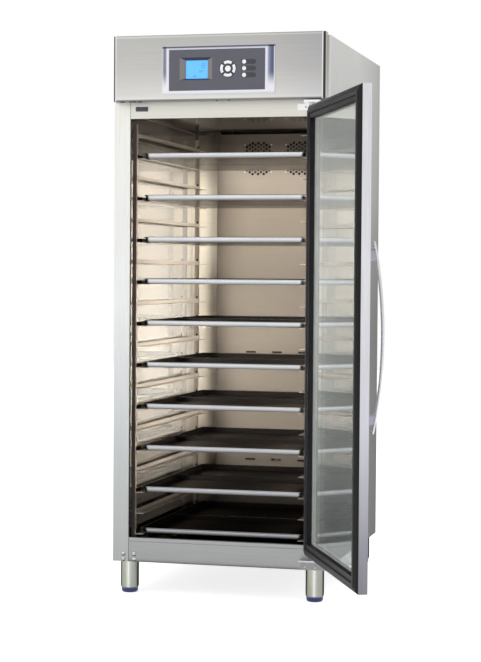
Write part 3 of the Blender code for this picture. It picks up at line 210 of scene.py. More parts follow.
# Pitch of the fins, rows and columns of the tubes, and their radius
EVAPORATOR_RUNS = (0.005, 10, 1, 0.0042)
CONDENSER_RUNS = (0.004, 7, 2, 0.0045)
COMPRESSOR = (SUCTION_X, 0.500, 1.8003)
# How far the plate's edges and its feet lie from the compressor's middle
PLATE_HALF = (0.085, 0.065)
PLATE_FEET = (0.071, 0.051)
TERMINAL_BOX = ((-0.026, -0.094, 0.040), (0.026, -0.074, 0.084))
SHROUD_SHEET = 0.0015
SHROUD_MOUTH = 0.083
GUARD_RINGS = (0.022, 0.042, 0.062, 0.081)
GUARD_WIRE = 0.0011
GUARD_SPOKES = 6
GUARD_REACH = (0.02112, 0.088)
LAMP_CAP = 0.012
LAMP_BACK = 0.0162
LAMP_ROUNDING = 0.010

# Head
FASCIA_X = 0.3874
FASCIA_FRONT = -0.0445
FASCIA_FOOT = 1.7738
FASCIA_TOP = 2.0068
FASCIA_ROUNDING = 0.012
FASCIA_SHEET = 0.0015
BEZEL = (-0.203, 1.7968, 0.208, 1.9643)
BEZEL_BACK = -0.0448
BEZEL_FRONT = -0.0481
FACE_Y = -0.0466
FACE = (-0.178, 1.8078, 0.173, 1.9538)
PANEL_BACK = -0.0385
MOUTH = (-0.1388, 1.8458, -0.020, 1.9248)
SCREEN = (-0.118, 1.8508, -0.0375, 1.9153)
SCREEN_Y = -0.0406
PAD = (0.0377, 1.8833)
PAD_DISC = 0.031
PAD_INNER = 0.0185
PAD_OUTER = 0.0283
PAD_ANGLE = math.radians(70)
FUNCTION_X = 0.0967
FUNCTION_ZS = (1.90655, 1.8833, 1.86005)
PILL = (0.0850, 0.1397, 0.0175)
BEZEL_LAP = 0.0034
# How far a key reaches back from its face
KEY = 0.0075
CENTRE_KEY = 0.0105
FUNCTION_KEY = 0.0075
# The left end and the width of each rubber bumper under the fascia, and from where to where they reach back
BUMPERS = ((-0.3600, 0.014), (-0.3280, 0.025), (-0.2950, 0.014), (-0.0060, 0.005), (0.0370, 0.006))
BUMPER_REACH = (-0.042, -0.034)
# Left, foot, width and height of the lit strokes: a seven-segment 8 over level bars
DISPLAY_STROKES = [
    (-0.0585, 1.9045, 0.0090, 0.0012), (-0.0585, 1.8960, 0.0090, 0.0012), (-0.0585, 1.8875, 0.0090, 0.0012),
    (-0.0597, 1.8972, 0.0012, 0.0073), (-0.0597, 1.8887, 0.0012, 0.0073),
    (-0.0495, 1.8972, 0.0012, 0.0073), (-0.0495, 1.8887, 0.0012, 0.0073),
    (-0.0700, 1.8780, 0.0200, 0.0012), (-0.0700, 1.8740, 0.0140, 0.0012), (-0.0900, 1.8580, 0.0080, 0.0030),
]

# Door, as it is when shut
DOOR_X = 0.386
DOOR_FOOT = 0.171
DOOR_TOP = 1.7528
DOOR_FRONT = -0.046
OUTER_BACK = -0.016
INNER_BACK = -0.006
INNER_FRONT = -0.0157
LIP_FRONT = -0.0239
OUTER_BORDER = 0.038
INNER_BORDER = 0.050
PANE_INSET = 0.0385
PANE = 0.004
HINGE_AXIS = (0.358, -0.036)
REST_ANGLE = math.radians(114.4)
HANDLE_X = -0.351
HANDLE_Z = 0.9675
HANDLE_HALF = 0.3005
HANDLE_REACH = 0.053
HANDLE_BOW = 0.031
HANDLE_WIDTH = 0.022
HANDLE_THICK = 0.007
STANDOFF_Z = 0.257
STANDOFF_HALF = (0.008, 0.018)
SEAL = (-0.3534, 0.2022, 0.3534, 1.7198)

# Hinges, screws and the door switch
HINGE_PIN = 0.004
HINGE_COLLAR = 0.008
PIN_REACH = 0.0295
HINGE_TOP_FOOT = 1.7613
HINGE_SHELF = 0.158
HINGE_BACK = -0.0004
HINGE_TOP_XS = (0.308, 0.370)
HINGE_LOW_XS = (0.304, 0.387)
TONGUE = ((0.280, -0.0033, 1.7379), (0.3225, HINGE_BACK, 1.7618))
HINGE_SCREW = (0.0034, 0.0016)
HINGE_SCREWS = ((0.3097, -0.0033, 1.748), (0.3195, -0.0034, 0.129), (0.3566, -0.0034, 0.128))
SWITCH = ((-0.315, -0.0046, 1.742), (-0.270, -0.0001, 1.758))
STILE_SCREWS = ((-0.354, 0.1455), (-0.3135, 0.1265), (-0.354, 0.1265), (-0.3135, 0.1455))

# The photograph's camera, in the model's frame: place, yaw, pitch and roll, lens and sensor in mm
CAMERA_PLACE = (2.0244, -6.2554, 1.1698)
CAMERA_TURN = (0.2525, 0.0328, 0.0071)
CAMERA_LENS = (135.14, 36)

# Light: what the white room sends out, the cavity's lamp level by level, and its glow in a corner
ROOM_LIGHT = 0.72
CAVITY_LIGHT = (1.6, 8, 13, 16, 18, 18, 16, 14, 14, 3)
CORNER_LIGHT = 0.12
LAMP_COLOUR = "#fffbf4"

# Heights over which finishes change, and how clear the panes' film is at its foot and top
BODY_SPAN = (BODY_FOOT, BODY_TOP)
CAVITY_SPAN = (0.178, 1.735)
FILM_SPAN = (0.20, 1.40)
FILM_CLEAR = (0.97, 0.85)


def spot(x, y, z):
    """A place on the cabinet in the model's frame."""
    return Vector((x + MIDDLE, y + FRONT, z))


# Modelling

def deselect():
    for each in bpy.context.selected_objects:
        each.select_set(False)


def take(piece):
    deselect()
    piece.select_set(True)
    bpy.context.view_layer.objects.active = piece
    return piece


def settle(name):
    """Names the newest primitive and puts its place into its mesh."""
    piece = take(bpy.context.object)
    piece.name = piece.data.name = name
    bpy.ops.object.transform_apply(location=True, rotation=True, scale=True)
    return piece


def block(name, low, high):
    """A cube primitive at its size and place."""
    deselect()
    low, high = spot(*low), spot(*high)
    bpy.ops.mesh.primitive_cube_add(size=1, location=(low + high) / 2, scale=high - low)
    return settle(name)


def rod(name, start, end, radius, sides=ROUND):
    """A cylinder primitive between the middles of its end faces."""
    deselect()
    start, end = spot(*start), spot(*end)
    run = end - start
    turn = Vector((0, 0, 1)).rotation_difference(run).to_euler()
    bpy.ops.mesh.primitive_cylinder_add(
        vertices=sides, radius=radius, depth=run.length, location=(start + end) / 2, rotation=turn
    )
    return settle(name)


def open_mesh(piece, kind="FACE", action="DESELECT"):
    take(piece)
    bpy.ops.object.mode_set(mode="EDIT")
    bpy.ops.mesh.select_mode(type=kind)
    bpy.ops.mesh.select_all(action=action)
    return bmesh.from_edit_mesh(piece.data)


def close_mesh():
    bpy.ops.object.mode_set(mode="OBJECT")


def pick(piece, test, kind="FACE"):
    """Opens a piece with the faces or edges selected whose middle and direction pass the test."""
    mesh = open_mesh(piece, kind)
    for item in mesh.faces if kind == "FACE" else mesh.edges:
        if kind == "FACE":
            middle, direction = item.calc_center_median(), item.normal
        else:
            middle = (item.verts[0].co + item.verts[1].co) / 2
            direction = (item.verts[1].co - item.verts[0].co).normalized()
        if test(middle, direction):
            item.select_set(True)
    mesh.select_flush_mode()
    bmesh.update_edit_mesh(piece.data)


def put(piece, places):
    """Moves each selected vertex to the place that is given for it by its old place."""
    mesh = bmesh.from_edit_mesh(piece.data)
    for vertex in mesh.verts:
        if vertex.select:
            vertex.co = places(vertex.co)
    bmesh.update_edit_mesh(piece.data)


def round_off(piece, test, width, segments):
    """Rounds the edges that pass the test of their middle and run."""
    pick(piece, test, "EDGE")
    bpy.ops.mesh.bevel(offset=width, segments=segments, affect="EDGES")
    close_mesh()
    return piece


def uncover(piece, test):
    """Takes away the faces that pass the test of their middle and normal."""
    pick(piece, test)
    bpy.ops.mesh.delete(type="FACE")
    close_mesh()
    return piece


def modify(piece, kind, **settings):
    take(piece)
    modifier = piece.modifiers.new(kind.title(), kind)
    for name, value in settings.items():
        setattr(modifier, name, value)
    bpy.ops.object.modifier_apply(modifier=modifier.name)
    return piece


def thicken(piece, thick, side):
    """Gives a surface its thickness: behind it for -1, on both sides for 0, before it for 1."""
    return modify(piece, "SOLIDIFY", thickness=thick, offset=side, use_even_offset=True)


def smooth(piece, angle=SMOOTH):
    """Shades a piece smooth over its small edges, with its large faces kept flat."""
    take(piece)
    if piece.data.has_custom_normals:
        bpy.ops.mesh.customdata_custom_splitnormals_clear()
    bpy.ops.object.shade_smooth_by_angle(angle=angle)
    return modify(piece, "WEIGHTED_NORMAL", keep_sharp=True)


def soften(piece, width, segments=2, angle=SMOOTH):
    """Rounds the piece's edges."""
    modify(piece, "BEVEL", width=width, segments=segments, limit_method="ANGLE", angle_limit=angle)
    return smooth(piece)


def tidy_faces(piece, gap=1e-5):
    """Merges doubles and turns faces outwards."""
    open_mesh(piece, "VERT", "SELECT")
    bpy.ops.mesh.remove_doubles(threshold=gap)
    bpy.ops.mesh.normals_make_consistent(inside=False)
    close_mesh()
    return piece


def copy(piece, name, offset=(0, 0, 0)):
    twin = piece.copy()
    twin.data = piece.data.copy()
    twin.name = twin.data.name = name
    bpy.context.scene.collection.objects.link(twin)
    twin.data.transform(Matrix.Translation(offset))
    return twin


def mirrored(piece, name):
    """A twin on the cabinet's other side."""
    twin = copy(piece, name)
    take(twin)
    twin.scale.x = -1
    twin.location.x = 2 * MIDDLE
    bpy.ops.object.transform_apply(location=True, rotation=True, scale=True)
    return tidy_faces(twin)


def again(piece, name, offset):
    """The piece itself where the name is its own, else a copy of it."""
    return piece if piece.name == name else copy(piece, name, offset)


def joined(pieces, name):
    deselect()
    for each in pieces:
        each.select_set(True)
    bpy.context.view_layer.objects.active = pieces[0]
    if len(pieces) > 1:
        bpy.ops.object.join()
    pieces[0].name = pieces[0].data.name = name
    return pieces[0]


def cut(piece, tool):
    modify(piece, "BOOLEAN", operation="DIFFERENCE", solver="EXACT", object=tool)
    bpy.data.objects.remove(tool, do_unlink=True)
    return piece


def folded(name, path, start, end, across, outer, sheet=SHEET, fold=FOLD):
    """A bent sheet: a plane over the first leg of a path, extruded along the others, rounded at its folds and
    given its thickness away from the side that the first leg's outer face looks to."""
    def place(point, along):
        a, b = point
        return {"X": spot(along, a, b), "Y": spot(a, along, b), "Z": spot(a, b, along)}[across]

    deselect()
    bpy.ops.mesh.primitive_plane_add(size=1)
    piece = settle(name)
    open_mesh(piece, "VERT", "SELECT")
    put(piece, lambda co: place(path[0 if co.x < 0 else 1], start if co.y < 0 else end))
    for here, there in zip(path[1:], path[2:]):
        bpy.ops.mesh.select_all(action="DESELECT")
        mesh = bmesh.from_edit_mesh(piece.data)
        for vertex in mesh.verts:
            near = min((vertex.co - place(here, along)).length for along in (start, end))
            vertex.select_set(near < TOUCH)
        mesh.select_flush(True)
        bmesh.update_edit_mesh(piece.data)
        bpy.ops.mesh.select_mode(type="EDGE")
        step = place(there, start) - place(here, start)
        bpy.ops.mesh.extrude_edges_move(TRANSFORM_OT_translate={"value": step})
        bpy.ops.mesh.select_mode(type="VERT")
    close_mesh()
    facing = piece.data.polygons[0].normal.dot(Vector(outer))
    if fold and len(path) > 2:
        corners = [place(point, (start + end) / 2) for point in path[1:-1]]
        round_off(piece, lambda middle, run: min((middle - c).length for c in corners) < TOUCH, fold, 4)
    side = -1 if facing > 0 else 1
    thicken(piece, sheet, side)
    return smooth(piece)


def stepped(name, loops, closed=False):
    """Rectangles set into one another, each (left, foot, right, top, y), from a plane that is inset once for
    each. A closed one is a ring whose last rectangle meets its first."""
    def corners(loop):
        left, foot, right, top, y = loop
        return {(-1, -1): spot(left, y, foot), (1, -1): spot(right, y, foot),
                (-1, 1): spot(left, y, top), (1, 1): spot(right, y, top)}

    def placer(loop, middle):
        by_side = corners(loop)
        return lambda co: by_side[(1 if co.x > middle[0] else -1, 1 if co.z > middle[1] else -1)]

    first = loops[0]
    deselect()
    bpy.ops.mesh.primitive_plane_add(size=1, rotation=(math.pi / 2, 0, 0))
    piece = settle(name)
    open_mesh(piece, "FACE", "SELECT")
    put(piece, placer(first, (0, 0)))
    middle = ((first[0] + first[2]) / 2 + MIDDLE, (first[1] + first[3]) / 2)
    for loop in loops[1:]:
        bpy.ops.mesh.inset(thickness=1e-4)
        put(piece, placer(loop, middle))
        middle = ((loop[0] + loop[2]) / 2 + MIDDLE, (loop[1] + loop[3]) / 2)
    if closed:
        bpy.ops.mesh.delete(type="ONLY_FACE")
    close_mesh()
    return tidy_faces(piece)


def turned(name, foot, profile, sides=ROUND, axis="Z"):
    """A shape turned about a line along Z or Y: a circle extruded and scaled through radii and heights."""
    deselect()
    radius, height = profile[0]
    bpy.ops.mesh.primitive_circle_add(
        vertices=sides, radius=radius, fill_type="NGON", location=(0, 0, height)
    )
    piece = settle(name)
    open_mesh(piece, "FACE", "SELECT")
    for (wide, low), (next_wide, high) in zip(profile, profile[1:]):
        bpy.ops.mesh.extrude_region_move(TRANSFORM_OT_translate={"value": (0, 0, high - low)})
        share = next_wide / wide
        bpy.ops.transform.resize(value=(share, share, 1), center_override=(0, 0, high))
    close_mesh()
    lean = Matrix.Rotation(-math.pi / 2 if axis == "Y" else 0, 4, "X")
    piece.data.transform(Matrix.Translation(spot(*foot)) @ lean)
    return tidy_faces(piece)


def sheet(name, cells, places, thick, side=0):
    """A grid of cells whose points are put at places(u, v), u and v from 0 to 1, and given a thickness."""
    deselect()
    bpy.ops.mesh.primitive_grid_add(x_subdivisions=cells[0], y_subdivisions=cells[1], size=2)
    piece = settle(name)
    open_mesh(piece, "VERT", "SELECT")
    put(piece, lambda co: spot(*places((co.x + 1) / 2, (co.y + 1) / 2)))
    bpy.ops.mesh.normals_make_consistent(inside=False)
    close_mesh()
    thicken(piece, thick, side)
    return smooth(tidy_faces(piece))


def row_of(piece, count, step):
    """Repeats a piece along one direction."""
    return modify(
        piece, "ARRAY", count=count, use_relative_offset=False, use_constant_offset=True,
        constant_offset_displace=step,
    )


def cad(node):
    """The low and high corners of a CAD node on the cabinet."""
    shift = Vector((MIDDLE, FRONT, 0))
    return [Vector(corner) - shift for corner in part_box(node)]


def pipe(name, points, radius, bend=0.0, sides=SMALL):
    """A round tube along a path with rounded corners."""
    path = [Vector(points[0])]
    for before, corner, after in zip(points, points[1:], points[2:]):
        before, corner, after = Vector(before), Vector(corner), Vector(after)
        back, ahead = (before - corner).normalized(), (after - corner).normalized()
        legs = (before - corner).length / 2, (after - corner).length / 2
        reach = min(bend / math.tan(back.angle(ahead) / 2), *legs)
        start, end = corner + back * reach, corner + ahead * reach
        for step in range(BEND_STEPS + 1):
            t = step / BEND_STEPS
            path.append((1 - t) ** 2 * start + 2 * t * (1 - t) * corner + t ** 2 * end)
    path.append(Vector(points[-1]))
    curve = bpy.data.curves.new(name, "CURVE")
    curve.dimensions = "3D"
    curve.bevel_depth = radius
    curve.bevel_resolution = sides // 4
    curve.use_fill_caps = True
    line = curve.splines.new("POLY")
    line.points.add(len(path) - 1)
    for point, place in zip(line.points, path):
        point.co = (*spot(*place), 1)
    piece = bpy.data.objects.new(name, curve)
    bpy.context.scene.collection.objects.link(piece)
    take(piece)
    bpy.ops.object.convert(target="MESH")
    return smooth(tidy_faces(bpy.context.object))


# Finishes

def linear(code):
    """A colour's linear values from its sRGB hex code."""
    shares = [int(code[i:i + 2], 16) / 255 for i in (1, 3, 5)]
    return (*(s / 12.92 if s <= 0.04045 else ((s + 0.055) / 1.055) ** 2.4 for s in shares), 1)


def add(tree, kind, values=None, links=None, **settings):
    """Adds a node, sets its settings and its sockets' values, and links outputs into it."""
    node = tree.nodes.new(kind)
    for name, value in settings.items():
        setattr(node, name, value)
    for name, value in (values or {}).items():
        node.inputs[name].default_value = value
    for name, output in (links or {}).items():
        tree.links.new(output, node.inputs[name])
    return node


def ramp(tree, stops, factor):
    """A ramp's colour output, through the hex code at each place."""
    node = add(tree, "ShaderNodeValToRGB", links={"Fac": factor})
    band = node.color_ramp
    while len(band.elements) < len(stops):
        band.elements.new(0.5)
    for element, (place, code) in zip(band.elements, stops.items()):
        element.position = place
        element.color = linear(code)
    return node.outputs["Color"]


def along_axis(tree, axis, span, ends=(0.0, 1.0), space="Object", **settings):
    """A value that runs between two ends over a span of one axis, of the frame or of each piece's own box."""
    places = add(tree, "ShaderNodeTexCoord").outputs[space]
    axes = add(tree, "ShaderNodeSeparateXYZ", links={"Vector": places})
    limits = {"From Min": span[0], "From Max": span[1], "To Min": ends[0], "To Max": ends[1]}
    links = {"Value": axes.outputs[axis]}
    return add(tree, "ShaderNodeMapRange", limits, links, **settings).outputs["Result"]


def shade(made, tones, along="Z", span=(0, 1), space="Object"):
    """Multiplies a finish's colour by tones along one axis."""
    tree = made.node_tree
    socket = tree.nodes["Principled BSDF"].inputs["Base Color"]
    share = along_axis(tree, along, span, space=space)
    links = {"Color1": socket.links[0].from_socket, "Color2": ramp(tree, tones, share)}
    mix = add(tree, "ShaderNodeMixRGB", {"Fac": 1.0}, links, blend_type="MULTIPLY")
    tree.links.new(mix.outputs["Color"], socket)


def finish(
    name, codes, rough, grain, metallic=0.0, relief=0.0, detail=3.0, tones=None, along="Z", span=(0, 1),
    **sockets,
):
    """A finish with its grain, which is noise whose grains measure so much each way, or along X, Y and Z.

    Of three colours and three roughnesses the first is the plain one, and the noise moves between the other
    two. Tones shade the piece along one axis. Other sockets are named with _ for a space.
    """
    made = bpy.data.materials.new(name)
    made.use_nodes = True
    tree = made.node_tree
    shader = tree.nodes["Principled BSDF"]
    plain, low, high = codes
    shader.inputs["Base Color"].default_value = linear(plain)
    shader.inputs["Roughness"].default_value = rough[0]
    shader.inputs["Metallic"].default_value = metallic
    for socket, value in sockets.items():
        shader.inputs[socket.replace("_", " ")].default_value = value
    sizes = grain if isinstance(grain, tuple) else (grain, grain, grain)
    places = add(tree, "ShaderNodeTexCoord").outputs["Object"]
    scale = {"Scale": [1 / size for size in sizes]}
    grains = add(tree, "ShaderNodeMapping", scale, {"Vector": places}).outputs["Vector"]
    noise = add(tree, "ShaderNodeTexNoise", {"Scale": 1.0, "Detail": detail}, {"Vector": grains})
    noise = noise.outputs["Fac"]
    tree.links.new(ramp(tree, {0.3: low, 0.7: high}, noise), shader.inputs["Base Color"])
    if tones:
        shade(made, tones, along, span)
    limits = {"To Min": rough[1], "To Max": rough[2]}
    dull = add(tree, "ShaderNodeMapRange", limits, {"Value": noise}).outputs["Result"]
    tree.links.new(dull, shader.inputs["Roughness"])
    if relief:
        depth = {"Strength": 1.0, "Distance": relief}
        bump = add(tree, "ShaderNodeBump", depth, {"Height": noise}).outputs["Normal"]
        tree.links.new(bump, shader.inputs["Normal"])
    return made


# Stainless sheet, satin ground: grains 4 mm wide and 120 mm long, drawn coarser than the real grit
# Painted shade: the sides grow darker towards their foot
side_steel = finish(
    "stainless sheet, satin ground, sides", ("#b8b8b4", "#f4f4f2", "#ffffff"), (0.34, 0.3, 0.38),
    (0.004, 0.004, 0.12), metallic=1, relief=2e-5, Specular_Tint=(0.5, 0.5, 0.5, 1),
    span=BODY_SPAN,
    tones={
        0: "#7f807f", 0.25: "#8a8b8a", 0.44: "#9d9e9d", 0.56: "#b4b5b4", 0.71: "#dededc", 0.85: "#ececea",
        0.954: "#f5f5f3", 1: "#f8f8f5",
    },
)
# Painted shade: the sides darker towards their rear
shade(side_steel, {0: "#ffffff", 0.55: "#ffffff", 0.9: "#e8e8e8", 1: "#dcdcde"}, "Y", (FRONT, FRONT + BODY_Y))
# Painted shade: the front darker towards its foot
front_steel = finish(
    "stainless sheet, satin ground, front", ("#e0e0dc", "#f8f8f6", "#ffffff"), (0.36, 0.32, 0.42),
    (0.004, 0.004, 0.12), metallic=1, relief=2e-5, span=BODY_SPAN,
    tones={0: "#9fa2a2", 0.2: "#b6b9ba", 0.5: "#e2e4e5", 0.8: "#e8e8e4", 1: "#dfddd4"},
)
# Painted shadow along the foot of the bottom rail, and painted shade lower down
rail_steel = finish(
    "stainless sheet, satin ground, rails", ("#d8d7d0", "#f8f8f6", "#ffffff"), (0.36, 0.32, 0.42),
    (0.12, 0.004, 0.004), metallic=1, relief=2e-5, span=BODY_SPAN,
    tones={
        0: "#545454", 0.0032: "#7c7c7c", 0.0046: "#939596", 0.055: "#9b9d9e", 0.9: "#dbd9d1", 1: "#dfddd3",
    },
)
# Painted shade and highlights: a dark strip with a light line above it at the fascia's foot, a light line
# under a dark edge at its top
fascia_steel = finish(
    "stainless sheet, fine ground", ("#c4c4c0", "#f8f8f7", "#ffffff"), (0.34, 0.33, 0.36),
    (0.16, 0.004, 0.003), metallic=1, span=(FASCIA_FOOT, FASCIA_TOP),
    tones={
        0: "#6e6e6c", 0.02: "#8e8e8c", 0.032: "#deddda", 0.08: "#d4d3d0", 0.3: "#c8c7c3", 0.5: "#bdbcb9",
        0.955: "#b4b3b1", 0.975: "#cfcfcb", 1: "#90908e",
    },
)
# Painted shade: the fascia darker towards its right end
shade(fascia_steel, {0: "#ffffff", 0.7: "#ffffff", 1: "#f1f1f6"}, "X", (-0.03, 0.72))
# The fascia's rounded ends get painted reflections of the room's edges as upright stripes
edge_left_steel = finish(
    "stainless sheet, rounded left end", ("#74746f", "#f4f4f2", "#ffffff"), (0.3, 0.26, 0.34),
    (0.004, 0.004, 0.1), metallic=1, along="X", span=(-0.0424, -0.0304),
    tones={0: "#3e3e3c", 0.55: "#4c4c4a", 0.75: "#d8d8d6", 1: "#ececea"},
)
edge_right_steel = finish(
    "stainless sheet, rounded right end", ("#74746f", "#f4f4f2", "#ffffff"), (0.3, 0.26, 0.34),
    (0.004, 0.004, 0.1), metallic=1, along="X", span=(0.7204, 0.7324),
    tones={0: "#dcdce0", 0.22: "#ffffff", 0.34: "#4a4844", 0.85: "#3c3a38", 1: "#a8a8a6"},
)
# Polished lining: bright annealed sheet, with a painted warm tone of the lamp's light and painted shade
# towards its foot and top
liner_steel = finish(
    "stainless sheet, bright annealed", ("#d8cdbd", "#ece8e0", "#f2eee8"), (0.16, 0.05, 0.09),
    (0.006, 0.006, 0.2), metallic=0.75, span=CAVITY_SPAN,
    tones={0: "#948e88", 0.2: "#e4e0dc", 0.35: "#ffffff", 0.85: "#fffefc", 0.95: "#c8c2bc", 1: "#7c7671"},
)
# Painted shade towards the rear wall's foot and top
rear_steel = finish(
    "stainless sheet, satin rear wall", ("#d8cdbd", "#e8e0d0", "#eee6d8"), (0.42, 0.38, 0.44),
    (0.2, 0.006, 0.006), metallic=0.2, span=CAVITY_SPAN,
    tones={0: "#8c8680", 0.2: "#d8d4ce", 0.35: "#ffffff", 0.85: "#fffefc", 0.95: "#a8a29c", 1: "#8a847e"},
)
# Painted shade: the air panel darker low down and at its top
vent_steel = finish(
    "stainless sheet, satin air panel", ("#cfc4b4", "#d2cac0", "#d8d0c6"), (0.34, 0.3, 0.36),
    (0.2, 0.004, 0.004), metallic=0.72, span=CAVITY_SPAN,
    tones={0: "#5c5854", 0.2: "#807c78", 0.6: "#7c7874", 0.8: "#969089", 0.9: "#a6a29e", 0.97: "#6a645e"},
)
rack_steel = finish(
    "stainless strip, rolled", ("#a89e93", "#a69c91", "#aea499"), (0.28, 0.28, 0.32), (0.006, 0.15, 0.006),
    metallic=0.5,
)
rear_upright_steel = finish(
    "stainless channel, satin", ("#a3968a", "#9c9084", "#b0a498"), (0.34, 0.3, 0.42), (0.004, 0.004, 0.1),
    metallic=0.9, relief=1e-5,
)
# Painted shade: the front uprights are drawn near black, and darker still low down
upright_steel = finish(
    "stainless channel, painted shade", ("#322925", "#3c2e27", "#463730"), (0.45, 0.42, 0.5), (0.004, 0.004, 0.1),
    metallic=0.5, span=(0.178, 1.70), tones={0: "#8c8884", 0.3: "#b8b4b0", 0.55: "#f4f0ec", 1: "#ffffff"},
)
# Black: painted shade in the duct behind the air panel, on the runners' stops and on the runners beside the
# trays' ends, and the colour of the refrigerant pipes
black_and_painted_shade = finish(
    "black finish and painted shade", ("#0d0b0a", "#0b0908", "#100e0c"), (0.8, 0.74, 0.86), 0.003, Specular_IOR_Level=0.2,
)
# Zinc coated sheet: spangles about 12 mm across
zinc_steel = finish(
    "zinc coated sheet", ("#a9adae", "#9da1a3", "#b8bcbd"), (0.45, 0.38, 0.55), 0.012, metallic=1,
    relief=3e-5, detail=0,
)
foam = finish(
    "rigid polyurethane foam", ("#e2d6a6", "#d6c890", "#ece2b8"), (0.9, 0.85, 0.95), 0.002, relief=0.0002,
)
# Painted shade and highlights: the trays darker lower in the rack, painted shade at their left ends, and a
# dark foot, bright band and darker top line on each rim
tray_metal = finish(
    "drawn aluminium", ("#dfe0e2", "#dedfe1", "#e4e5e7"), (0.26, 0.25, 0.28), (0.1, 0.004, 0.004), metallic=1,
    span=(TRAY_FOOT, 1.68),
    tones={0: "#c0c0c2", 0.1: "#c2c2c4", 0.41: "#e4e4e4", 0.515: "#ececec", 0.72: "#f5f5f5"},
)
shade(tray_metal, {0: "#1c1c18", 0.5: "#4a4a46", 0.8: "#b0b0b0", 1: "#ffffff"}, "X", (0.045, 0.066))
shade(tray_metal, {
    0: "#5a5a5a", 0.12: "#8e8e8e", 0.3: "#c8c8c8", 0.6: "#f2f2f2", 0.85: "#ffffff", 0.93: "#a8a8a4",
    1: "#8a8a84",
}, "Z", space="Generated")
# Dark coating of the trays' floors and inner walls, also used as painted shade on their left sides
coat_and_painted_shade = finish(
    "dark baked coating and painted shade", ("#0c0a09", "#080605", "#0d0b09"), (0.5, 0.5, 0.6), 0.003, relief=4e-5,
    Specular_IOR_Level=0.03,
)
# Painted shade: the door frame darker towards its foot
anodised = finish(
    "anodised aluminium extrusion", ("#d6d6da", "#d0d0d4", "#dcdce0"), (0.32, 0.27, 0.36),
    (0.004, 0.004, 0.14), metallic=1, relief=1e-5, span=(0.17, 1.2),
    tones={0: "#8e8e94", 0.15: "#a4a4aa", 0.5: "#e4e4e8", 1: "#ffffff"},
)
# Painted shade: the inner frame lighter on its hinge side and darker towards its free side
charcoal = finish(
    "charcoal moulded extrusion", ("#343236", "#3c3a3c", "#48464b"), (0.42, 0.4, 0.5), (0.003, 0.003, 0.12),
    relief=3e-5, Specular_IOR_Level=0.2, along="X", span=(0.66, 1.02),
    tones={0: "#747478", 0.06: "#86868a", 0.12: "#9c9ca2", 0.42: "#7e7e84", 0.78: "#464649", 1: "#3e3f43"},
)
# Two coated panes with a faint film of damp, which gathers high up, where the air is warm, and scatters light
glass = finish(
    "coated float glass", ("#f6faf9", "#f4f8f7", "#f8fcfb"), (0, 0, 0), (0.06, 0.06, 0.12),
    Transmission_Weight=0.9, IOR=1.8,
)
film = along_axis(glass.node_tree, "Z", FILM_SPAN, FILM_CLEAR)
glass.node_tree.links.new(film, glass.node_tree.nodes["Principled BSDF"].inputs["Transmission Weight"])
# Painted light: the spacer glows faintly, standing in for light that reaches it through the panes
spacer_metal = finish(
    "mill aluminium spacer", ("#d6d4cc", "#d0cec6", "#dcdad2"), (0.38, 0.32, 0.46), 0.002, metallic=0.3,
    Emission_Strength=0.4, Emission_Color=(0.8, 0.8, 0.76, 1),
)
sealant = finish(
    "black butyl sealant", ("#141416", "#111113", "#18181a"), (0.55, 0.48, 0.62), 0.002, relief=3e-5,
)
rubber = finish(
    "black silicone rubber", ("#1c1c1f", "#18181b", "#232326"), (0.58, 0.52, 0.66), 0.002, relief=3e-5,
)
handle_steel = finish(
    "stainless bar, satin", ("#ccccd0", "#c6c6ca", "#d6d6da"), (0.24, 0.2, 0.28), (0.003, 0.003, 0.08),
    metallic=1,
)
standoff_steel = finish(
    "lilac grey cast standoff", ("#a4a4b0", "#9c9ca8", "#acacb8"), (0.36, 0.32, 0.42), 0.002, metallic=0.6,
)
# Painted shade and highlight: the bottom hinge darker, the top one bright
hinge_steel = finish(
    "stainless hinge, tumbled", ("#e6e6e6", "#eaeaea", "#f2f2f2"), (0.28, 0.26, 0.3), 0.002, metallic=1,
    span=(0.150, 1.77), tones={0: "#8e8e8e", 0.004: "#d2d2d2", 0.5: "#f4f4f4", 1: "#ffffff"},
)
screw_steel = finish(
    "stainless screw", ("#b4b4b4", "#a8a8a8", "#c0c0c0"), (0.3, 0.26, 0.34), 0.001, metallic=1,
)
# Lit and shaded copies of the screw finish: a painted highlight and a painted shade
screw_light = finish(
    "stainless screw, side to the light", ("#f4f4f4", "#f0f0f0", "#fafafa"), (0.3, 0.26, 0.34), 0.001,
    metallic=1,
)
screw_shade = finish(
    "stainless screw, side to the floor", ("#4c4c4c", "#464646", "#525252"), (0.3, 0.26, 0.34), 0.001,
    metallic=1,
)
slate_plastic = finish(
    "slate moulded face, fine texture", ("#63636f", "#5e5e6a", "#686874"), (0.42, 0.38, 0.5), 0.0012,
    relief=2e-5,
)
dark_plastic = finish(
    "dark slate moulded", ("#3f3f4a", "#3b3b46", "#44444f"), (0.4, 0.36, 0.46), 0.0012, relief=1e-5,
)
navy_plastic = finish("navy display mask", ("#1d2140", "#1a1e3c", "#202444"), (0.35, 0.31, 0.4), 0.001)
mask_plastic = finish("warm grey display mask", ("#8d8787", "#898383", "#918b8b"), (0.45, 0.4, 0.5), 0.001)
# Painted reflections: dark slate gradients across the bezel's wings, faded to white towards its foot, and a
# painted dark line along its top
bezel_plastic = finish(
    "satin chromed plastic", ("#e8e8ee", "#e8e8ee", "#ebebf1"), (0.28, 0.27, 0.29), 0.003, metallic=0.85,
    along="X", span=(0.142, 0.553),
    tones={
        0: "#ffffff", 0.009: "#b4b6c0", 0.018: "#868898", 0.034: "#9ea0ac", 0.044: "#ffffff",
        0.061: "#e8e8f0", 0.915: "#eaeaf4", 0.93: "#ffffff", 0.945: "#a0a4b8", 0.965: "#747a94",
        0.982: "#626a86", 0.99: "#7c829a", 0.996: "#ffffff",
    },
)


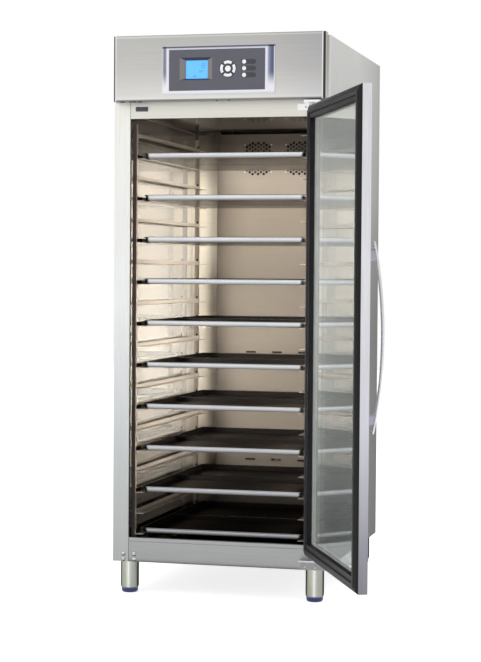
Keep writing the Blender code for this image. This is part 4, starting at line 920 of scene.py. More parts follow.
def whiten(made, foot, top):
    """Lets a finish's painted tones fade to white below a height."""
    tree = made.node_tree
    tones = next(node for node in tree.nodes if node.bl_idname == "ShaderNodeMixRGB")
    share = along_axis(tree, "Z", (foot, top), interpolation_type="SMOOTHSTEP")
    tree.links.new(share, tones.inputs["Fac"])


whiten(bezel_plastic, 1.815, 1.875)
shade(bezel_plastic, {
    0: "#e8e8f0", 0.04: "#ffffff", 0.955: "#ffffff", 0.975: "#747480",
}, "Z", (BEZEL[1], BEZEL[3]))
# Painted light: the keys glow faintly so that they read white
key_plastic = finish(
    "white moulded key", ("#ffffff", "#f6f6fa", "#ffffff"), (0.4, 0.36, 0.46), 0.001, Emission_Strength=0.15,
    Emission_Color=(1, 1, 1, 1),
)
display = finish(
    "lit blue display", ("#5cb4fa", "#58b0f6", "#60b8fe"), (0.12, 0.1, 0.14), 0.0008,
    Emission_Color=linear("#62b2f8"), Emission_Strength=0.55,
)
display_mark = finish("display segments", ("#2f7fd0", "#2b7bcc", "#3383d4"), (0.2, 0.16, 0.24), 0.0008)
reed_plastic = finish("slate door switch", ("#4c4c58", "#474753", "#53535f"), (0.45, 0.4, 0.5), 0.001)
enamel = finish(
    "black baked enamel", ("#17181a", "#141517", "#1d1e21"), (0.3, 0.24, 0.36), 0.004, relief=3e-5,
)
fin_metal = finish("aluminium fins", ("#b8babc", "#aeb0b2", "#c4c6c8"), (0.4, 0.34, 0.48), 0.004, metallic=1)
copper = finish("drawn copper tube", ("#b5724a", "#a8663f", "#c47f55"), (0.28, 0.22, 0.36), 0.006, metallic=1)
fan_plastic = finish(
    "black moulded fan", ("#1b1b1c", "#171718", "#222224"), (0.48, 0.42, 0.54), 0.002, relief=2e-5,
)
opal = finish(
    "opal lamp diffuser", ("#fff0d6", "#fdeed4", "#fff2d8"), (0.35, 0.3, 0.4), 0.003,
    Emission_Color=linear("#fff0dc"), Emission_Strength=8,
)
lamp_white = finish("white lamp cap", ("#e8e4da", "#e4e0d6", "#ece8de"), (0.45, 0.4, 0.5), 0.002, relief=1e-5)
tube_steel = finish(
    "stainless tube, polished", ("#b4b4ae", "#d6d6d0", "#dededa"), (0.2, 0.18, 0.22), (0.004, 0.004, 0.08),
    metallic=1, Specular_Tint=(0.25, 0.25, 0.25, 1),
)
# Painted reflections: dark upright stripes at the legs' sides and a light one down their middle
shade(tube_steel, {
    0: "#2e322e", 0.1: "#565a54", 0.18: "#acaea4", 0.42: "#bcbeb4", 0.5: "#dadcda", 0.57: "#f4f8f8",
    0.645: "#d2d5d2", 0.72: "#b6b9b4", 0.93: "#aeb0aa", 0.965: "#80847c", 0.985: "#3e423c", 1: "#303430",
}, "X", space="Generated")
blue_plastic = finish(
    "dark blue moulded foot", ("#2a3068", "#262c60", "#303672"), (0.36, 0.3, 0.42), 0.002, relief=2e-5,
)
light_blue_plastic = finish(
    "blue foot rim", ("#6f78b4", "#6a73b0", "#747db8"), (0.34, 0.3, 0.38), 0.002, relief=1e-5,
)


def wear(piece, made, slot, *replaced, body="cabinet"):
    """Gives a piece its finish and the body it rides on. The slot it is finished from is not used."""
    if made:
        piece.data.materials.clear()
        piece.data.materials.append(made)
    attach(piece, body)
    if replaced:
        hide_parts(*replaced)
    return piece


def tint(piece, made, test):
    """Gives a second finish to the faces that pass the test of their middle and normal."""
    piece.data.materials.append(made)
    number = len(piece.data.materials) - 1
    for face in piece.data.polygons:
        if test(face.center, face.normal):
            face.material_index = number


# Body

def make_sides():
    path = [
        (-STILE_X, STILE_RETURN), (-STILE_X, 0), (-BODY_X, 0), (-BODY_X, BODY_Y), (-REAR_RETURN_X, BODY_Y),
    ]
    left = folded("side_sheet_left", path, BODY_FOOT, BODY_TOP, "Z", (1, 0, 0))
    right = mirrored(left, "side_sheet_right")
    for side, piece in (("left", left), ("right", right)):
        wear(smooth(piece), side_steel, "satin_steel", "side_panel_" + side)
        tint(piece, front_steel, lambda middle, normal: middle.y < FRONT + STILE_RETURN + FOLD)


def make_front_frame():
    seam = OPENING_FOOT - SILL_SEAM
    lintel = [(RAIL_DEPTH, OPENING_TOP), (0, OPENING_TOP), (0, RAIL_TOP), (RAIL_DEPTH, RAIL_TOP)]
    ledge = [(RAIL_DEPTH, OPENING_FOOT), (0, OPENING_FOOT), (0, seam)]
    apron = [(RAIL_DEPTH / 2, seam - SEAM), (0, seam - SEAM), (0, RAIL_FOOT), (RAIL_DEPTH, RAIL_FOOT)]
    for name, path, outer, *replaced in (
        ("front_rail_top", lintel, -1, "front_frame"), ("front_sill", ledge, 1),
        ("front_rail_bottom", apron, 1),
    ):
        wear(folded(name, path, -RAIL_X, RAIL_X, "X", (0, 0, outer)), rail_steel, "satin_steel", *replaced)
    post = block("frame_post_left", (-FOAM_X, BEHIND_FRONT, RAIL_FOOT), (-POST_X, RAIL_DEPTH, RAIL_TOP))
    soften(post, SHEET)
    wear(mirrored(post, "frame_post_right"), front_steel, "satin_steel")
    wear(post, front_steel, "satin_steel")


def make_liner():
    low, high = cad("inner_liner")
    inset = Vector((SHEET, 0, SHEET))
    shell = block("cavity_liner", low + inset, high - inset - Vector((0, SHEET, 0)))
    uncover(shell, lambda middle, normal: normal.y < -FACING)
    mouth = low.y + FRONT
    pick(shell, lambda middle, run: middle.y > mouth + TOUCH, "EDGE")
    bpy.ops.mesh.bevel(offset=COVE, segments=5, affect="EDGES")
    for place, normal in (
        (spot(-PANEL_HALF, 0, 0), (1, 0, 0)), (spot(PANEL_HALF, 0, 0), (1, 0, 0)),
        (spot(0, PANEL_FRONT, 0), (0, 1, 0)),
    ):
        bpy.ops.mesh.select_all(action="SELECT")
        bpy.ops.mesh.bisect(plane_co=place, plane_no=normal)
    close_mesh()
    wear(smooth(thicken(shell, SHEET, 1)), liner_steel, "polished_steel", "inner_liner")
    rear, duct = high.y - 2 * SHEET + FRONT, PANEL_FRONT + FRONT
    in_duct = lambda middle: abs(middle.x - MIDDLE) < PANEL_HALF and middle.y > duct
    tint(shell, rear_steel, lambda middle, normal: normal.y < -FACING and middle.y > rear - TOUCH)
    # Painted shade: the duct behind the air panel is drawn black
    tint(shell, black_and_painted_shade, lambda middle, normal: in_duct(middle) and normal.y < -0.3)


def pressed(piece, test, border, depth):
    """Presses in the face that passes the test, inside a border."""
    pick(piece, test)
    bpy.ops.mesh.inset(thickness=border)
    bpy.ops.mesh.inset(thickness=PRESS_SLOPE, depth=-depth)
    close_mesh()
    return soften(piece, EDGE)


def make_rear():
    wall = block("rear_wall", (-FOAM_X, REAR_WALL_Y, BODY_FOOT), (FOAM_X, REAR_WALL_Y + SHEET, DECK_TOP))
    pressed(wall, lambda middle, normal: normal.y > FACING, *REAR_PRESS)
    wear(wall, zinc_steel, "zinc_steel", "rear_panel")
    deck = block("compartment_deck", (-FOAM_X, BEHIND_FRONT, DECK_FOOT), (FOAM_X, REAR_WALL_Y, DECK_TOP))
    wear(soften(deck, EDGE), zinc_steel, "zinc_steel")
    base = block("base_sheet", (-FOAM_X, 0.0016, BODY_FOOT), (FOAM_X, REAR_WALL_Y - 0.002, BODY_FOOT + SHEET))
    pressed(base, lambda middle, normal: normal.z < -FACING, *BASE_PRESS)
    wear(base, side_steel, "satin_steel", "base_panel")


def make_legs():
    tube = [
        (LEG_DRAWN_IN, LEG_LOW), (LEG_DRAWN_IN + 0.0008, LEG_LOW + 0.003), (LEG_RADIUS, LEG_LOW + 0.008),
        (LEG_RADIUS, BODY_FOOT - 0.001),
    ]
    tip = [
        (0.0222, 0), (0.0262, 0.0012), (0.0286, 0.0042), (0.0300, 0.0085), (0.0301, 0.0140), (0.0294, 0.0146),
        (0.0294, FOOT_RIM), (0.0300, 0.0162), (0.0300, 0.0540), (0.0080, 0.0545), (0.0080, 0.112),
    ]
    place = (-LEG_X, LEG_YS[0], 0)
    sleeve = turned("leg_front_left", place, tube, LEG_SIDES)
    uncover(sleeve, lambda middle, normal: abs(normal.z) > FACING)
    smooth(thicken(sleeve, LEG_WALL, -1))
    foot = smooth(turned("foot_tip_front_left", place, tip, LEG_SIDES))
    for row, y in zip(("front", "rear"), LEG_YS):
        for side, x in (("left", -LEG_X), ("right", LEG_X)):
            corner, offset = f"{row}_{side}", (x + LEG_X, y - LEG_YS[0], 0)
            wear(again(sleeve, "leg_" + corner, offset), tube_steel, "satin_steel")
            each = again(foot, "foot_tip_" + corner, offset)
            wear(each, blue_plastic, "foot_plastic", "foot_" + corner, body=f"foot_{corner}_screw")
            tint(each, light_blue_plastic, lambda middle, normal: FOOT_RIM < middle.z < 0.06)


# Racks and trays

def painted_shade_beside_tray(place, normal):
    """True where a runner's web gets painted shade, beside the dark end of a tray."""
    level = round((place.z - FIRST_RUNNER - RUNNER_WEB / 2) / RUNNER_PITCH)
    return level % 2 == 0 and abs(normal.x) > 0.9 and place.y < FRONT + RUNNER_SHADE_REACH


def make_racks():
    front, back = UPRIGHT_FRONTS
    channel = [
        (-UPRIGHT_OUTER, front), (-UPRIGHT_INNER, front), (-UPRIGHT_INNER, front + UPRIGHT_DEPTH),
        (-UPRIGHT_OUTER, front + UPRIGHT_DEPTH),
    ]
    upright = folded(
        "rack_upright_left_front", channel, UPRIGHT_FOOT, UPRIGHT_TOP, "Z", (0, -1, 0), UPRIGHT_SHEET,
        UPRIGHT_FOLD,
    )
    web = -RUNNER_BACK + RUNNER_SHEET
    shelf = [(-RUNNER_EDGE, FIRST_RUNNER), (web, FIRST_RUNNER), (web, FIRST_RUNNER + RUNNER_WEB)]
    runners = folded(
        "runners_left", shelf, RACK_FRONT, RACK_BACK, "Y", (0, 0, 1), RUNNER_SHEET, RUNNER_FOLD
    )
    open_mesh(runners, "FACE", "SELECT")
    bpy.ops.mesh.bisect(plane_co=spot(0, RUNNER_SHADE_REACH, 0), plane_no=(0, 1, 0))
    close_mesh()
    smooth(row_of(runners, RUNNER_LEVELS, (0, 0, RUNNER_PITCH)))
    stop_low = (-RUNNER_BACK - 0.004, back - STOP_SIZE[1] - 0.006, FIRST_RUNNER + RUNNER_WEB + 0.001)
    stops = block("runner_stops_left", stop_low, [a + b for a, b in zip(stop_low, STOP_SIZE)])
    row_of(soften(stops, BLUNT), RUNNER_LEVELS, (0, 0, RUNNER_PITCH))
    spacers = []
    for y in UPRIGHT_FRONTS:
        for z in SPACER_HEIGHTS:
            start, end = [(x, y + UPRIGHT_DEPTH / 2, z) for x in (-UPRIGHT_OUTER, -WALL_X)]
            spacers.append(soften(rod("rack_spacers_left", start, end, SPACER_RADIUS, SMALL), BLUNT))
    spacers = joined(spacers, "rack_spacers_left")
    rear = copy(upright, "rack_upright_left_rear", (0, back - front, 0))
    # The runners' stops are black as painted shade
    for piece, made in (
        (upright, upright_steel), (rear, rear_upright_steel), (runners, rack_steel), (stops, black_and_painted_shade),
        (spacers, rack_steel),
    ):
        twin = smooth(mirrored(piece, piece.name.replace("left", "right")))
        for side, each in (("left", piece), ("right", twin)):
            wear(each, made, "polished_steel", *(["rack_" + side] if piece is runners else []))
            if piece is runners:
                tint(each, black_and_painted_shade, painted_shade_beside_tray)
            # The uprights' sides keep the rack's own finish, lighter than the painted shade on their fronts
            if piece is upright:
                tint(each, rack_steel, lambda co, normal: abs(normal.x) > 0.7)


def make_trays():
    middle = spot(0, TRAY_FRONTS[0] + TRAY_DEPTH / 2, TRAY_FOOT)
    deselect()
    bpy.ops.mesh.primitive_plane_add(size=2, location=middle)
    bpy.context.object.scale = (TRAY_HALF - TRAY_INSET, TRAY_DEPTH / 2 - TRAY_INSET, 1)
    tray = settle("baking_tray_front_01")
    open_mesh(tray, "VERT", "SELECT")
    bpy.ops.mesh.bevel(offset=TRAY_CORNER - TRAY_INSET, segments=5, affect="VERTICES")
    close_mesh()
    pick(tray, lambda co, run: True, "EDGE")
    inset, height = TRAY_INSET, 0.0
    for next_inset, next_height in TRAY_RISES:
        bpy.ops.mesh.extrude_edges_move(TRANSFORM_OT_translate={"value": (0, 0, next_height - height)})
        share = [(size - next_inset) / (size - inset) for size in (TRAY_HALF, TRAY_DEPTH / 2)]
        bpy.ops.transform.resize(value=(share[0], share[1], 1), center_override=middle)
        inset, height = next_inset, next_height
    close_mesh()
    smooth(thicken(tray, TRAY_SHEET, 1), math.radians(50))
    tray.data.materials.append(tray_metal)
    # Coating on the floor and inner walls, painted shade on the left side
    tint(tray, coat_and_painted_shade, lambda co, normal: tray_coat_or_shade(co - middle, normal))
    for level in range(TRAY_LEVELS):
        for row, y in zip(("front", "rear"), TRAY_FRONTS):
            number = f"{row}_{level + 1:02d}"
            each = again(tray, "baking_tray_" + number, (0, y - TRAY_FRONTS[0], level * TRAY_PITCH))
            wear(each, None, "tray_aluminium", "tray_" + number, body=f"tray_level_{level + 1:02d}")


def tray_coat_or_shade(place, normal):
    """True on the tray's floor and the inner side of its walls, which are coated, and on its left side, which
    gets painted shade.
    """
    if normal.z > 0.7 and place.z < 0.004:
        return True
    if normal.x < -0.95:
        return True
    inward = place.x * normal.x < -0.05 * abs(place.x) or place.y * normal.y < -0.05 * abs(place.y)
    return place.z < 0.0150 and inward


# Duct behind the trays

def punch(name, places, radius, front, back, sides=SMALL):
    """A cutter of one round punch repeated at places across the cabinet."""
    first = places[0]
    tool = rod(name, (first[0], front, first[1]), (first[0], back, first[1]), radius, sides)
    others = [copy(tool, name, (x - first[0], 0, z - first[1])) for x, z in places[1:]]
    return joined([tool] + others, name)


def make_air_panel():
    path = [
        (-PANEL_HALF, DUCT_BACK), (-PANEL_HALF, PANEL_FRONT), (PANEL_HALF, PANEL_FRONT),
        (PANEL_HALF, DUCT_BACK),
    ]
    panel = folded("air_panel_sheet", path, PANEL_FOOT, PANEL_TOP, "Z", (-1, 0, 0))
    places = []
    columns = int(VENT_REACH / VENT_COLUMN)
    for column in range(-columns, columns + 1):
        for row in range(-columns, columns + 1):
            across, up = VENT_COLUMN * column, VENT_PITCH * (row + column % 2 / 2)
            if math.hypot(across, up) < VENT_REACH:
                places += [(side * FAN_X + VENT_OFF_CENTRE + across, FAN_Z + up) for side in (-1, 1)]
    front, back = PANEL_FRONT - 0.003, PANEL_FRONT + 0.005
    cut(panel, punch("vent_punch", places, VENT_RADIUS, front, back))
    wide, high = VENT_SLOT
    slots = [
        block("slot_punch", (x - wide / 2, front, z - high / 2), (x + wide / 2, back, z + high / 2))
        for x in VENT_SLOT_XS for z in VENT_SLOT_ZS
    ]
    cut(panel, soften(joined(slots, "slot_punch"), high / 4))
    wear(smooth(panel), vent_steel, "polished_steel", "air_panel")
    pins = []
    flange = [(0.012, 0), (0.012, 0.0015), (FAN_PIN, 0.003), (FAN_PIN, 0.020)]
    for side in (-1, 1):
        start = (side * FAN_X, PANEL_FRONT + 0.0013, FAN_Z)
        pins.append(turned("fan_motor_pins", start, flange, 24, "Y"))
        for across in (-VENT_SCREW, VENT_SCREW):
            for up in (-VENT_SCREW, VENT_SCREW):
                place = (side * FAN_X + VENT_OFF_CENTRE + across, PANEL_FRONT - TOUCH, FAN_Z + up)
                pins.append(screw("fan_motor_pins", *place, 0.003, 0.0012))
    wear(joined(pins, "fan_motor_pins"), screw_steel, "polished_steel")


def rotor(name, centre, radius, hub, depth):
    """A fan on the Y axis: a capped hub and curved blades that lean into the air."""
    x, front, z = centre
    profile = [
        (hub - 0.003, 0), (hub - 0.001, 0.0006), (hub, 0.002), (hub, depth - 0.003),
        (hub - 0.002, depth - 0.0006), (hub - 0.006, depth), (hub - 0.008, depth - 0.002),
        (0.006, depth - 0.002),
    ]
    parts = [smooth(turned(name, centre, profile, 48, "Y"))]

    def blade_at(start):
        def place(u, v):
            reach = hub - 0.001 + u * (radius - hub)
            angle = start + 0.35 * u * u + (v - 0.5) * (1.20 - 0.10 * u)
            lift = depth / 2 + (v - 0.5) * depth * (0.78 - 0.2 * u) + 0.0016 * math.sin(math.pi * v)
            return x + reach * math.cos(angle), front + lift, z + reach * math.sin(angle)
        return place

    for number in range(BLADES):
        start = 2 * math.pi * number / BLADES
        parts.append(sheet(name, (8, 8), blade_at(start), 0.0014))
    return joined(parts, name)


def coil(name, low, high, pitch, rows, columns, tube, *replaced):
    """Aluminium fins on copper tubes: the fins, the end plates, and hairpins that join the runs."""
    x0, y0, z0 = low
    x1, y1, z1 = high
    start = x0 + HAIRPIN
    count = int((x1 - x0 - 2 * HAIRPIN) / pitch) + 1
    fins = row_of(block(name + "_fins", (start, y0, z0), (start + FIN, y1, z1)), count, (pitch, 0, 0))
    plates = []
    for x in (start - 0.002, start + (count - 1) * pitch + 0.001):
        plate = block(name + "_plates", (x, y0 - 0.0008, z0), (x + 0.001, y1 + 0.0002, z1))
        plates.append(soften(plate, 0.0002, 1))
    runs = []
    for column in range(columns):
        y = y0 + (column + 0.5) / columns * (y1 - y0)
        points = []
        for row in range(rows):
            z = z0 + (row + 0.5) / rows * (z1 - z0)
            ends = [(x0 + tube, y, z), (x1 - tube, y, z)]
            points += ends[::-1] if row % 2 else ends
        runs.append(pipe(name + "_tubes", points, tube, (z1 - z0) / rows / 2, 12))
    wear(fins, fin_metal, "coil_aluminium", *replaced)
    wear(joined(plates, name + "_plates"), zinc_steel, "coil_aluminium")
    wear(joined(runs, name + "_tubes"), copper, "coil_aluminium")


def make_duct():
    for side, x in (("left", -FAN_X), ("right", FAN_X)):
        fan = rotor("fan_wheel_" + side, (x, PANEL_FRONT + 0.008, FAN_Z), *FAN_WHEEL)
        wear(fan, fan_plastic, "fan_plastic", "fan_" + side, body=f"fan_{side}_rotor")
    coil("evaporator", *EVAPORATOR, *EVAPORATOR_RUNS, "evaporator_coil")
    suction = [
        (SUCTION_X, COIL_Y, COIL_PORT), (SUCTION_X, PIPE_Y, PIPE_TURN), (SUCTION_X, PIPE_Y, PORT_Z),
        (SUCTION_X, 0.578, PORT_Z),
    ]
    liquid = [
        (LIQUID_X, COIL_Y, COIL_PORT), (LIQUID_X, PIPE_Y, PIPE_TURN), (LIQUID_X, PIPE_Y, LIQUID_Z),
        (LIQUID_X, LINE_Y, LIQUID_Z), (-0.0205, LINE_Y, LIQUID_Z),
    ]
    pipes = [
        pipe("refrigerant_pipes", path, radius, PIPE_BEND)
        for path, radius in ((suction, SUCTION_RADIUS), (liquid, LIQUID_RADIUS))
    ]
    wear(joined(pipes, "refrigerant_pipes"), black_and_painted_shade, "coil_aluminium")
    low, high = cad("steam_humidifier")
    middle, top, heat = (low.y + high.y) / 2, low.z + 0.180, low.z + 0.09
    tank = block("humidifier_tank", (-0.110, low.y, low.z), (0.110, high.y, top))
    wear(soften(tank, 0.006, 3), zinc_steel, "zinc_steel", "steam_humidifier")
    spout = turned("humidifier_spout", (0, middle, top - 0.0005), [
        (0.016, 0), (0.016, 0.003), (0.012, 0.005), (0.0115, 0.070), (0.012, 0.074), (0.012, 0.0795),
        (0.0095, 0.0795), (0.0095, 0.020),
    ], 24)
    heater = rod("humidifier_heater", (0.1095, middle, heat), (0.118, middle, heat), 0.017, 6)
    wear(smooth(spout), zinc_steel, "zinc_steel")
    wear(soften(heater, 0.0012), screw_steel, "zinc_steel")


def make_lamp():
    low, high = cad("cabinet_lamp")
    back = low.x + LAMP_BACK
    body = block("lamp_batten", (back - 0.0002, low.y, low.z), high)
    wear(soften(body, 0.002), lamp_white, "lamp_plastic")
    tube = block(
        "lamp_diffuser", (low.x, low.y + 0.001, low.z + LAMP_CAP), (back, high.y - 0.001, high.z - LAMP_CAP)
    )
    near = low.x + MIDDLE + 0.004
    round_off(tube, lambda middle, run: abs(run.z) > FACING and middle.x < near, LAMP_ROUNDING, 6)
    wear(smooth(tube), opal, "lamp_plastic", "cabinet_lamp")
    ends = [
        soften(block("lamp_caps", (low.x + 0.0002, low.y, z), (back, high.y, z + LAMP_CAP)), 0.003, 3)
        for z in (low.z, high.z - LAMP_CAP)
    ]
    wear(joined(ends, "lamp_caps"), lamp_white, "lamp_plastic")


# Head

def make_fascia():
    shell = block("fascia_shell", (-FASCIA_X, FASCIA_FRONT, FASCIA_FOOT), (FASCIA_X, -0.0004, FASCIA_TOP))
    front = FASCIA_FRONT + FRONT
    at_front = lambda middle, run: abs(run.z) > FACING and middle.y < front + TOUCH
    round_off(shell, at_front, FASCIA_ROUNDING, 8)
    uncover(shell, lambda middle, normal: normal.y > FACING)
    thicken(shell, FASCIA_SHEET, -1)
    left, foot, right, top, y = shrunk(BEZEL, BEZEL_LAP, FASCIA_FRONT)
    cut(shell, block("window_cutter", (left, y - 0.003, foot), (right, y + 0.004, top)))
    soften(shell, 0.0005, 2, STEEP)
    wear(shell, fascia_steel, "fascia_steel", "fascia_panel")
    straight = FASCIA_X - FASCIA_ROUNDING
    rounding = lambda co, side: side * (co.x - MIDDLE) > straight and co.y < front + FASCIA_ROUNDING
    tint(shell, edge_left_steel, lambda co, normal: rounding(co, -1))
    tint(shell, edge_right_steel, lambda co, normal: rounding(co, 1))
    (near, far), foot, top = BUMPER_REACH, FASCIA_FOOT - 0.0028, FASCIA_FOOT - 0.0001
    bumpers = [
        soften(block("fascia_bumpers", (x, near, foot), (x + wide, far, top)), 0.0006)
        for x, wide in BUMPERS
    ]
    wear(joined(bumpers, "fascia_bumpers"), rubber, "seal_rubber")


def shrunk(rectangle, inset, y):
    """A rectangle drawn in by an inset, at a place across the cabinet's depth."""
    left, foot, right, top = rectangle
    return left + inset, foot + inset, right - inset, top - inset, y


def sector(name, inner, outer, middle, spread, front, thick):
    """A key that is part of a ring about the pad's middle."""
    def place(u, v):
        angle = middle + (u - 0.5) * spread
        reach = inner + v * (outer - inner)
        return PAD[0] + reach * math.cos(angle), front, PAD[1] + reach * math.sin(angle)
    piece = sheet(name, (12, 1), place, thick)
    low_y = min((piece.matrix_world @ v.co).y for v in piece.data.vertices)
    piece.data.transform(Matrix.Translation((0, front + FRONT - low_y, 0)))
    return piece


def make_control_panel():
    loops = [
        shrunk(BEZEL, 0, BEZEL_BACK), shrunk(BEZEL, 0, BEZEL_FRONT + 0.0014),
        shrunk(BEZEL, 0.0004, BEZEL_FRONT + 0.0006), shrunk(BEZEL, 0.0014, BEZEL_FRONT),
        shrunk(FACE, 0, BEZEL_FRONT), shrunk(FACE, 0.0004, BEZEL_FRONT + 0.0004),
        shrunk(FACE, 0.0006, BEZEL_BACK), shrunk(BEZEL, 0, BEZEL_BACK),
    ]
    bezel = smooth(stepped("panel_bezel", loops, closed=True), math.radians(20))
    wear(bezel, bezel_plastic, "panel_plastic")
    inner = shrunk(FACE, 0.0009, 0)[:4]
    loops = [
        shrunk(inner, 0, PANEL_BACK), shrunk(inner, 0, FACE_Y + 0.0003), shrunk(inner, 0.0004, FACE_Y),
        shrunk(MOUTH, 0, FACE_Y), shrunk(SCREEN, 0, SCREEN_Y), shrunk(SCREEN, 0, PANEL_BACK),
        shrunk(inner, 0, PANEL_BACK),
    ]
    face = stepped("panel_face", loops, closed=True)
    x, z = PAD
    start, end = (x, FACE_Y - 0.003, z), (x, PANEL_BACK + 0.002, z)
    cut(face, rod("disc_cutter", start, end, PAD_DISC + 0.0002, 64))
    left, right, high = PILL
    pills = [
        block("function_pill", (left, FACE_Y - 0.0004, z - high / 2), (right, PANEL_BACK, z + high / 2))
        for z in FUNCTION_ZS
    ]
    for pill in pills:
        round_off(pill, lambda middle, run: abs(run.y) > FACING, high / 2 - 0.0002, 8)
    pills = soften(joined(pills, "function_pills"), 0.0003)
    disc = soften(rod("pad_disc", (x, FACE_Y - 0.0003, z), (x, PANEL_BACK, z), PAD_DISC, 64), 0.0003)
    cut(face, copy(pills, "pill_cutter"))
    wear(smooth(face), slate_plastic, "panel_plastic", "control_panel")
    near, far = FACE_Y + FRONT + 0.0002, SCREEN_Y + FRONT - 0.0002

    def on_slope(co):
        inside = MOUTH[0] < co.x - MIDDLE < MOUTH[2] and MOUTH[1] < co.z < MOUTH[3]
        return inside and near < co.y < far

    tint(face, navy_plastic, lambda co, normal: on_slope(co) and abs(normal.z) > 0.3)
    tint(face, mask_plastic, lambda co, normal: on_slope(co) and abs(normal.x) > 0.2)
    wear(pills, dark_plastic, "panel_plastic")
    wear(disc, dark_plastic, "panel_plastic")
    low, high = cad("lcd_screen")
    wear(soften(block("display_glass", low, high), 0.0003), display, "display_glass", "lcd_screen")
    y = low.y - 0.0001
    strokes = [
        soften(block("display_segments", (x, y, z), (x + wide, y + 0.0003, z + high)), 0.0001, 1)
        for x, z, wide, high in DISPLAY_STROKES
    ]
    wear(joined(strokes, "display_segments"), display_mark, "display_glass")


def make_keys():
    front = FACE_Y - 0.001
    keys = {}
    for number, name in enumerate(("key_right", "key_up", "key_left", "key_down")):
        keys[name] = sector(name + "_cap", PAD_INNER, PAD_OUTER, number * math.pi / 2, PAD_ANGLE, front, KEY)
    rounds = [("key_centre", PAD, CENTRE_KEY)]
    rounds += [(f"function_key_{n + 1}", (FUNCTION_X, z), FUNCTION_KEY) for n, z in enumerate(FUNCTION_ZS)]
    for name, (x, z), radius in rounds:
        profile = [
            (radius, KEY), (radius, 0.0006), (radius - 0.0005, 0.0001), (radius - 0.0012, 0),
            (radius * 0.6, 0.0002), (radius * 0.2, 0.0003),
        ]
        keys[name] = smooth(turned(name + "_cap", (x, front, z), profile, 32, "Y"))
    for name, key in keys.items():
        wear(soften(key, EDGE), key_plastic, "key_plastic", name, body=name + "_cap")


# Cooling unit

def make_compressor():
    middle = x, y, foot = COMPRESSOR
    profile = [
        (0.050, 0), (0.062, 0.003), (0.070, 0.010), (0.0755, 0.020), (0.0765, 0.036), (0.0765, 0.068),
        (0.0779, 0.069), (0.0779, 0.076), (0.0765, 0.077), (0.0765, 0.098), (0.074, 0.113), (0.068, 0.127),
        (0.056, 0.139), (0.038, 0.1465), (0.018, 0.1495), (0.004, 0.1499),
    ]
    pot = smooth(turned("compressor_pot", middle, profile, 64))
    half, deep = PLATE_HALF
    base = block("compressor_plate", (x - half, y - deep, foot - 0.003), (x + half, y + deep, foot + 0.001))
    soften(round_off(base, lambda middle, run: abs(run.z) > FACING, 0.012, 4), 0.001)
    low, high = [[a + b for a, b in zip(middle, corner)] for corner in TERMINAL_BOX]
    terminal = block("compressor_terminal_box", low, high)
    grommet = [
        (0.0108, 0), (0.0108, 0.004), (0.0090, 0.006), (0.0090, 0.008), (0.0108, 0.0095), (0.0106, 0.0118),
        (0.0045, 0.0118),
    ]
    wide, deep = PLATE_FEET
    feet = [
        turned("compressor_feet", (across, back, UNIT_FLOOR), grommet, 24)
        for across in (x - wide, x + wide) for back in (y - deep, y + deep)
    ]
    wear(joined([pot, base], "compressor_pot"), enamel, "black_enamel", "compressor")
    wear(soften(terminal, 0.004, 3), fan_plastic, "black_enamel")
    wear(smooth(joined(feet, "compressor_feet")), rubber, "black_enamel")


def make_condenser():
    coil("condenser", *CONDENSER, *CONDENSER_RUNS, "condenser_coil")
    low, high = CONDENSER
    fan_x, fan_z = CONDENSER_FAN[0], CONDENSER_FAN[2]
    on_axis = lambda depth: (fan_x, depth, fan_z)
    shroud = block("condenser_shroud", (low[0], high[1] + 0.001, low[2]), (high[0], SHROUD_BACK, high[2]))
    uncover(shroud, lambda middle, normal: normal.y < -FACING)
    thicken(shroud, SHROUD_SHEET, -1)
    start, end = on_axis(SHROUD_BACK - 0.01), on_axis(SHROUD_BACK + 0.01)
    cut(shroud, rod("shroud_cutter", start, end, SHROUD_MOUTH, 64))
    wear(soften(shroud, EDGE), enamel, "coil_aluminium")
    bars = []
    for ring in GUARD_RINGS:
        deselect()
        bpy.ops.mesh.primitive_torus_add(
            major_radius=ring, minor_radius=GUARD_WIRE, major_segments=64, minor_segments=8,
            location=spot(*on_axis(SHROUD_BACK - 0.0012)), rotation=(math.pi / 2, 0, 0),
        )
        bars.append(settle("condenser_guard"))
    for step in range(GUARD_SPOKES):
        angle = 2 * math.pi * step / GUARD_SPOKES
        start, end = [
            (fan_x + reach * math.cos(angle), SHROUD_BACK - 0.0030, fan_z + reach * math.sin(angle))
            for reach in GUARD_REACH
        ]
        bars.append(rod("condenser_guard", start, end, GUARD_WIRE, 8))
    wear(smooth(joined(bars, "condenser_guard")), enamel, "coil_aluminium")
    pin = rod("condenser_fan_pin", on_axis(high[1] - 0.001), on_axis(high[1] + 0.0205), FAN_PIN, SMALL)
    wear(pin, screw_steel, "coil_aluminium")
    wheel = rotor("condenser_fan_wheel", CONDENSER_FAN, *CONDENSER_WHEEL)
    wear(wheel, fan_plastic, "fan_plastic", "condenser_fan", body="condenser_fan_rotor")
    x, y = COMPRESSOR[:2]
    discharge = [
        (-0.010, LINE_Y, PORT_Z), (-0.071, LINE_Y, PORT_Z), (-0.071, y, PORT_Z), (x + 0.0783, y, PORT_Z),
    ]
    wear(pipe("discharge_pipe", discharge, DISCHARGE_RADIUS, PIPE_BEND), copper, "coil_aluminium")


# Door, drawn shut

def hang(piece, made, slot, *replaced):
    """Turns a piece of the shut door to where the door rests."""
    pin = spot(*HINGE_AXIS, 0)
    turn = Matrix.Rotation(REST_ANGLE, 4, "Z")
    piece.data.transform(Matrix.Translation(pin) @ turn @ Matrix.Translation(-pin))
    return wear(piece, made, slot, *replaced, body="door")


def door_ring(name, profile):
    """A ring round the door from insets off its edge and places across its thickness."""
    loops = [(-DOOR_X + i, DOOR_FOOT + i, DOOR_X - i, DOOR_TOP - i, y) for i, y in profile]
    return smooth(stepped(name, loops + loops[:1], closed=True), math.radians(30))


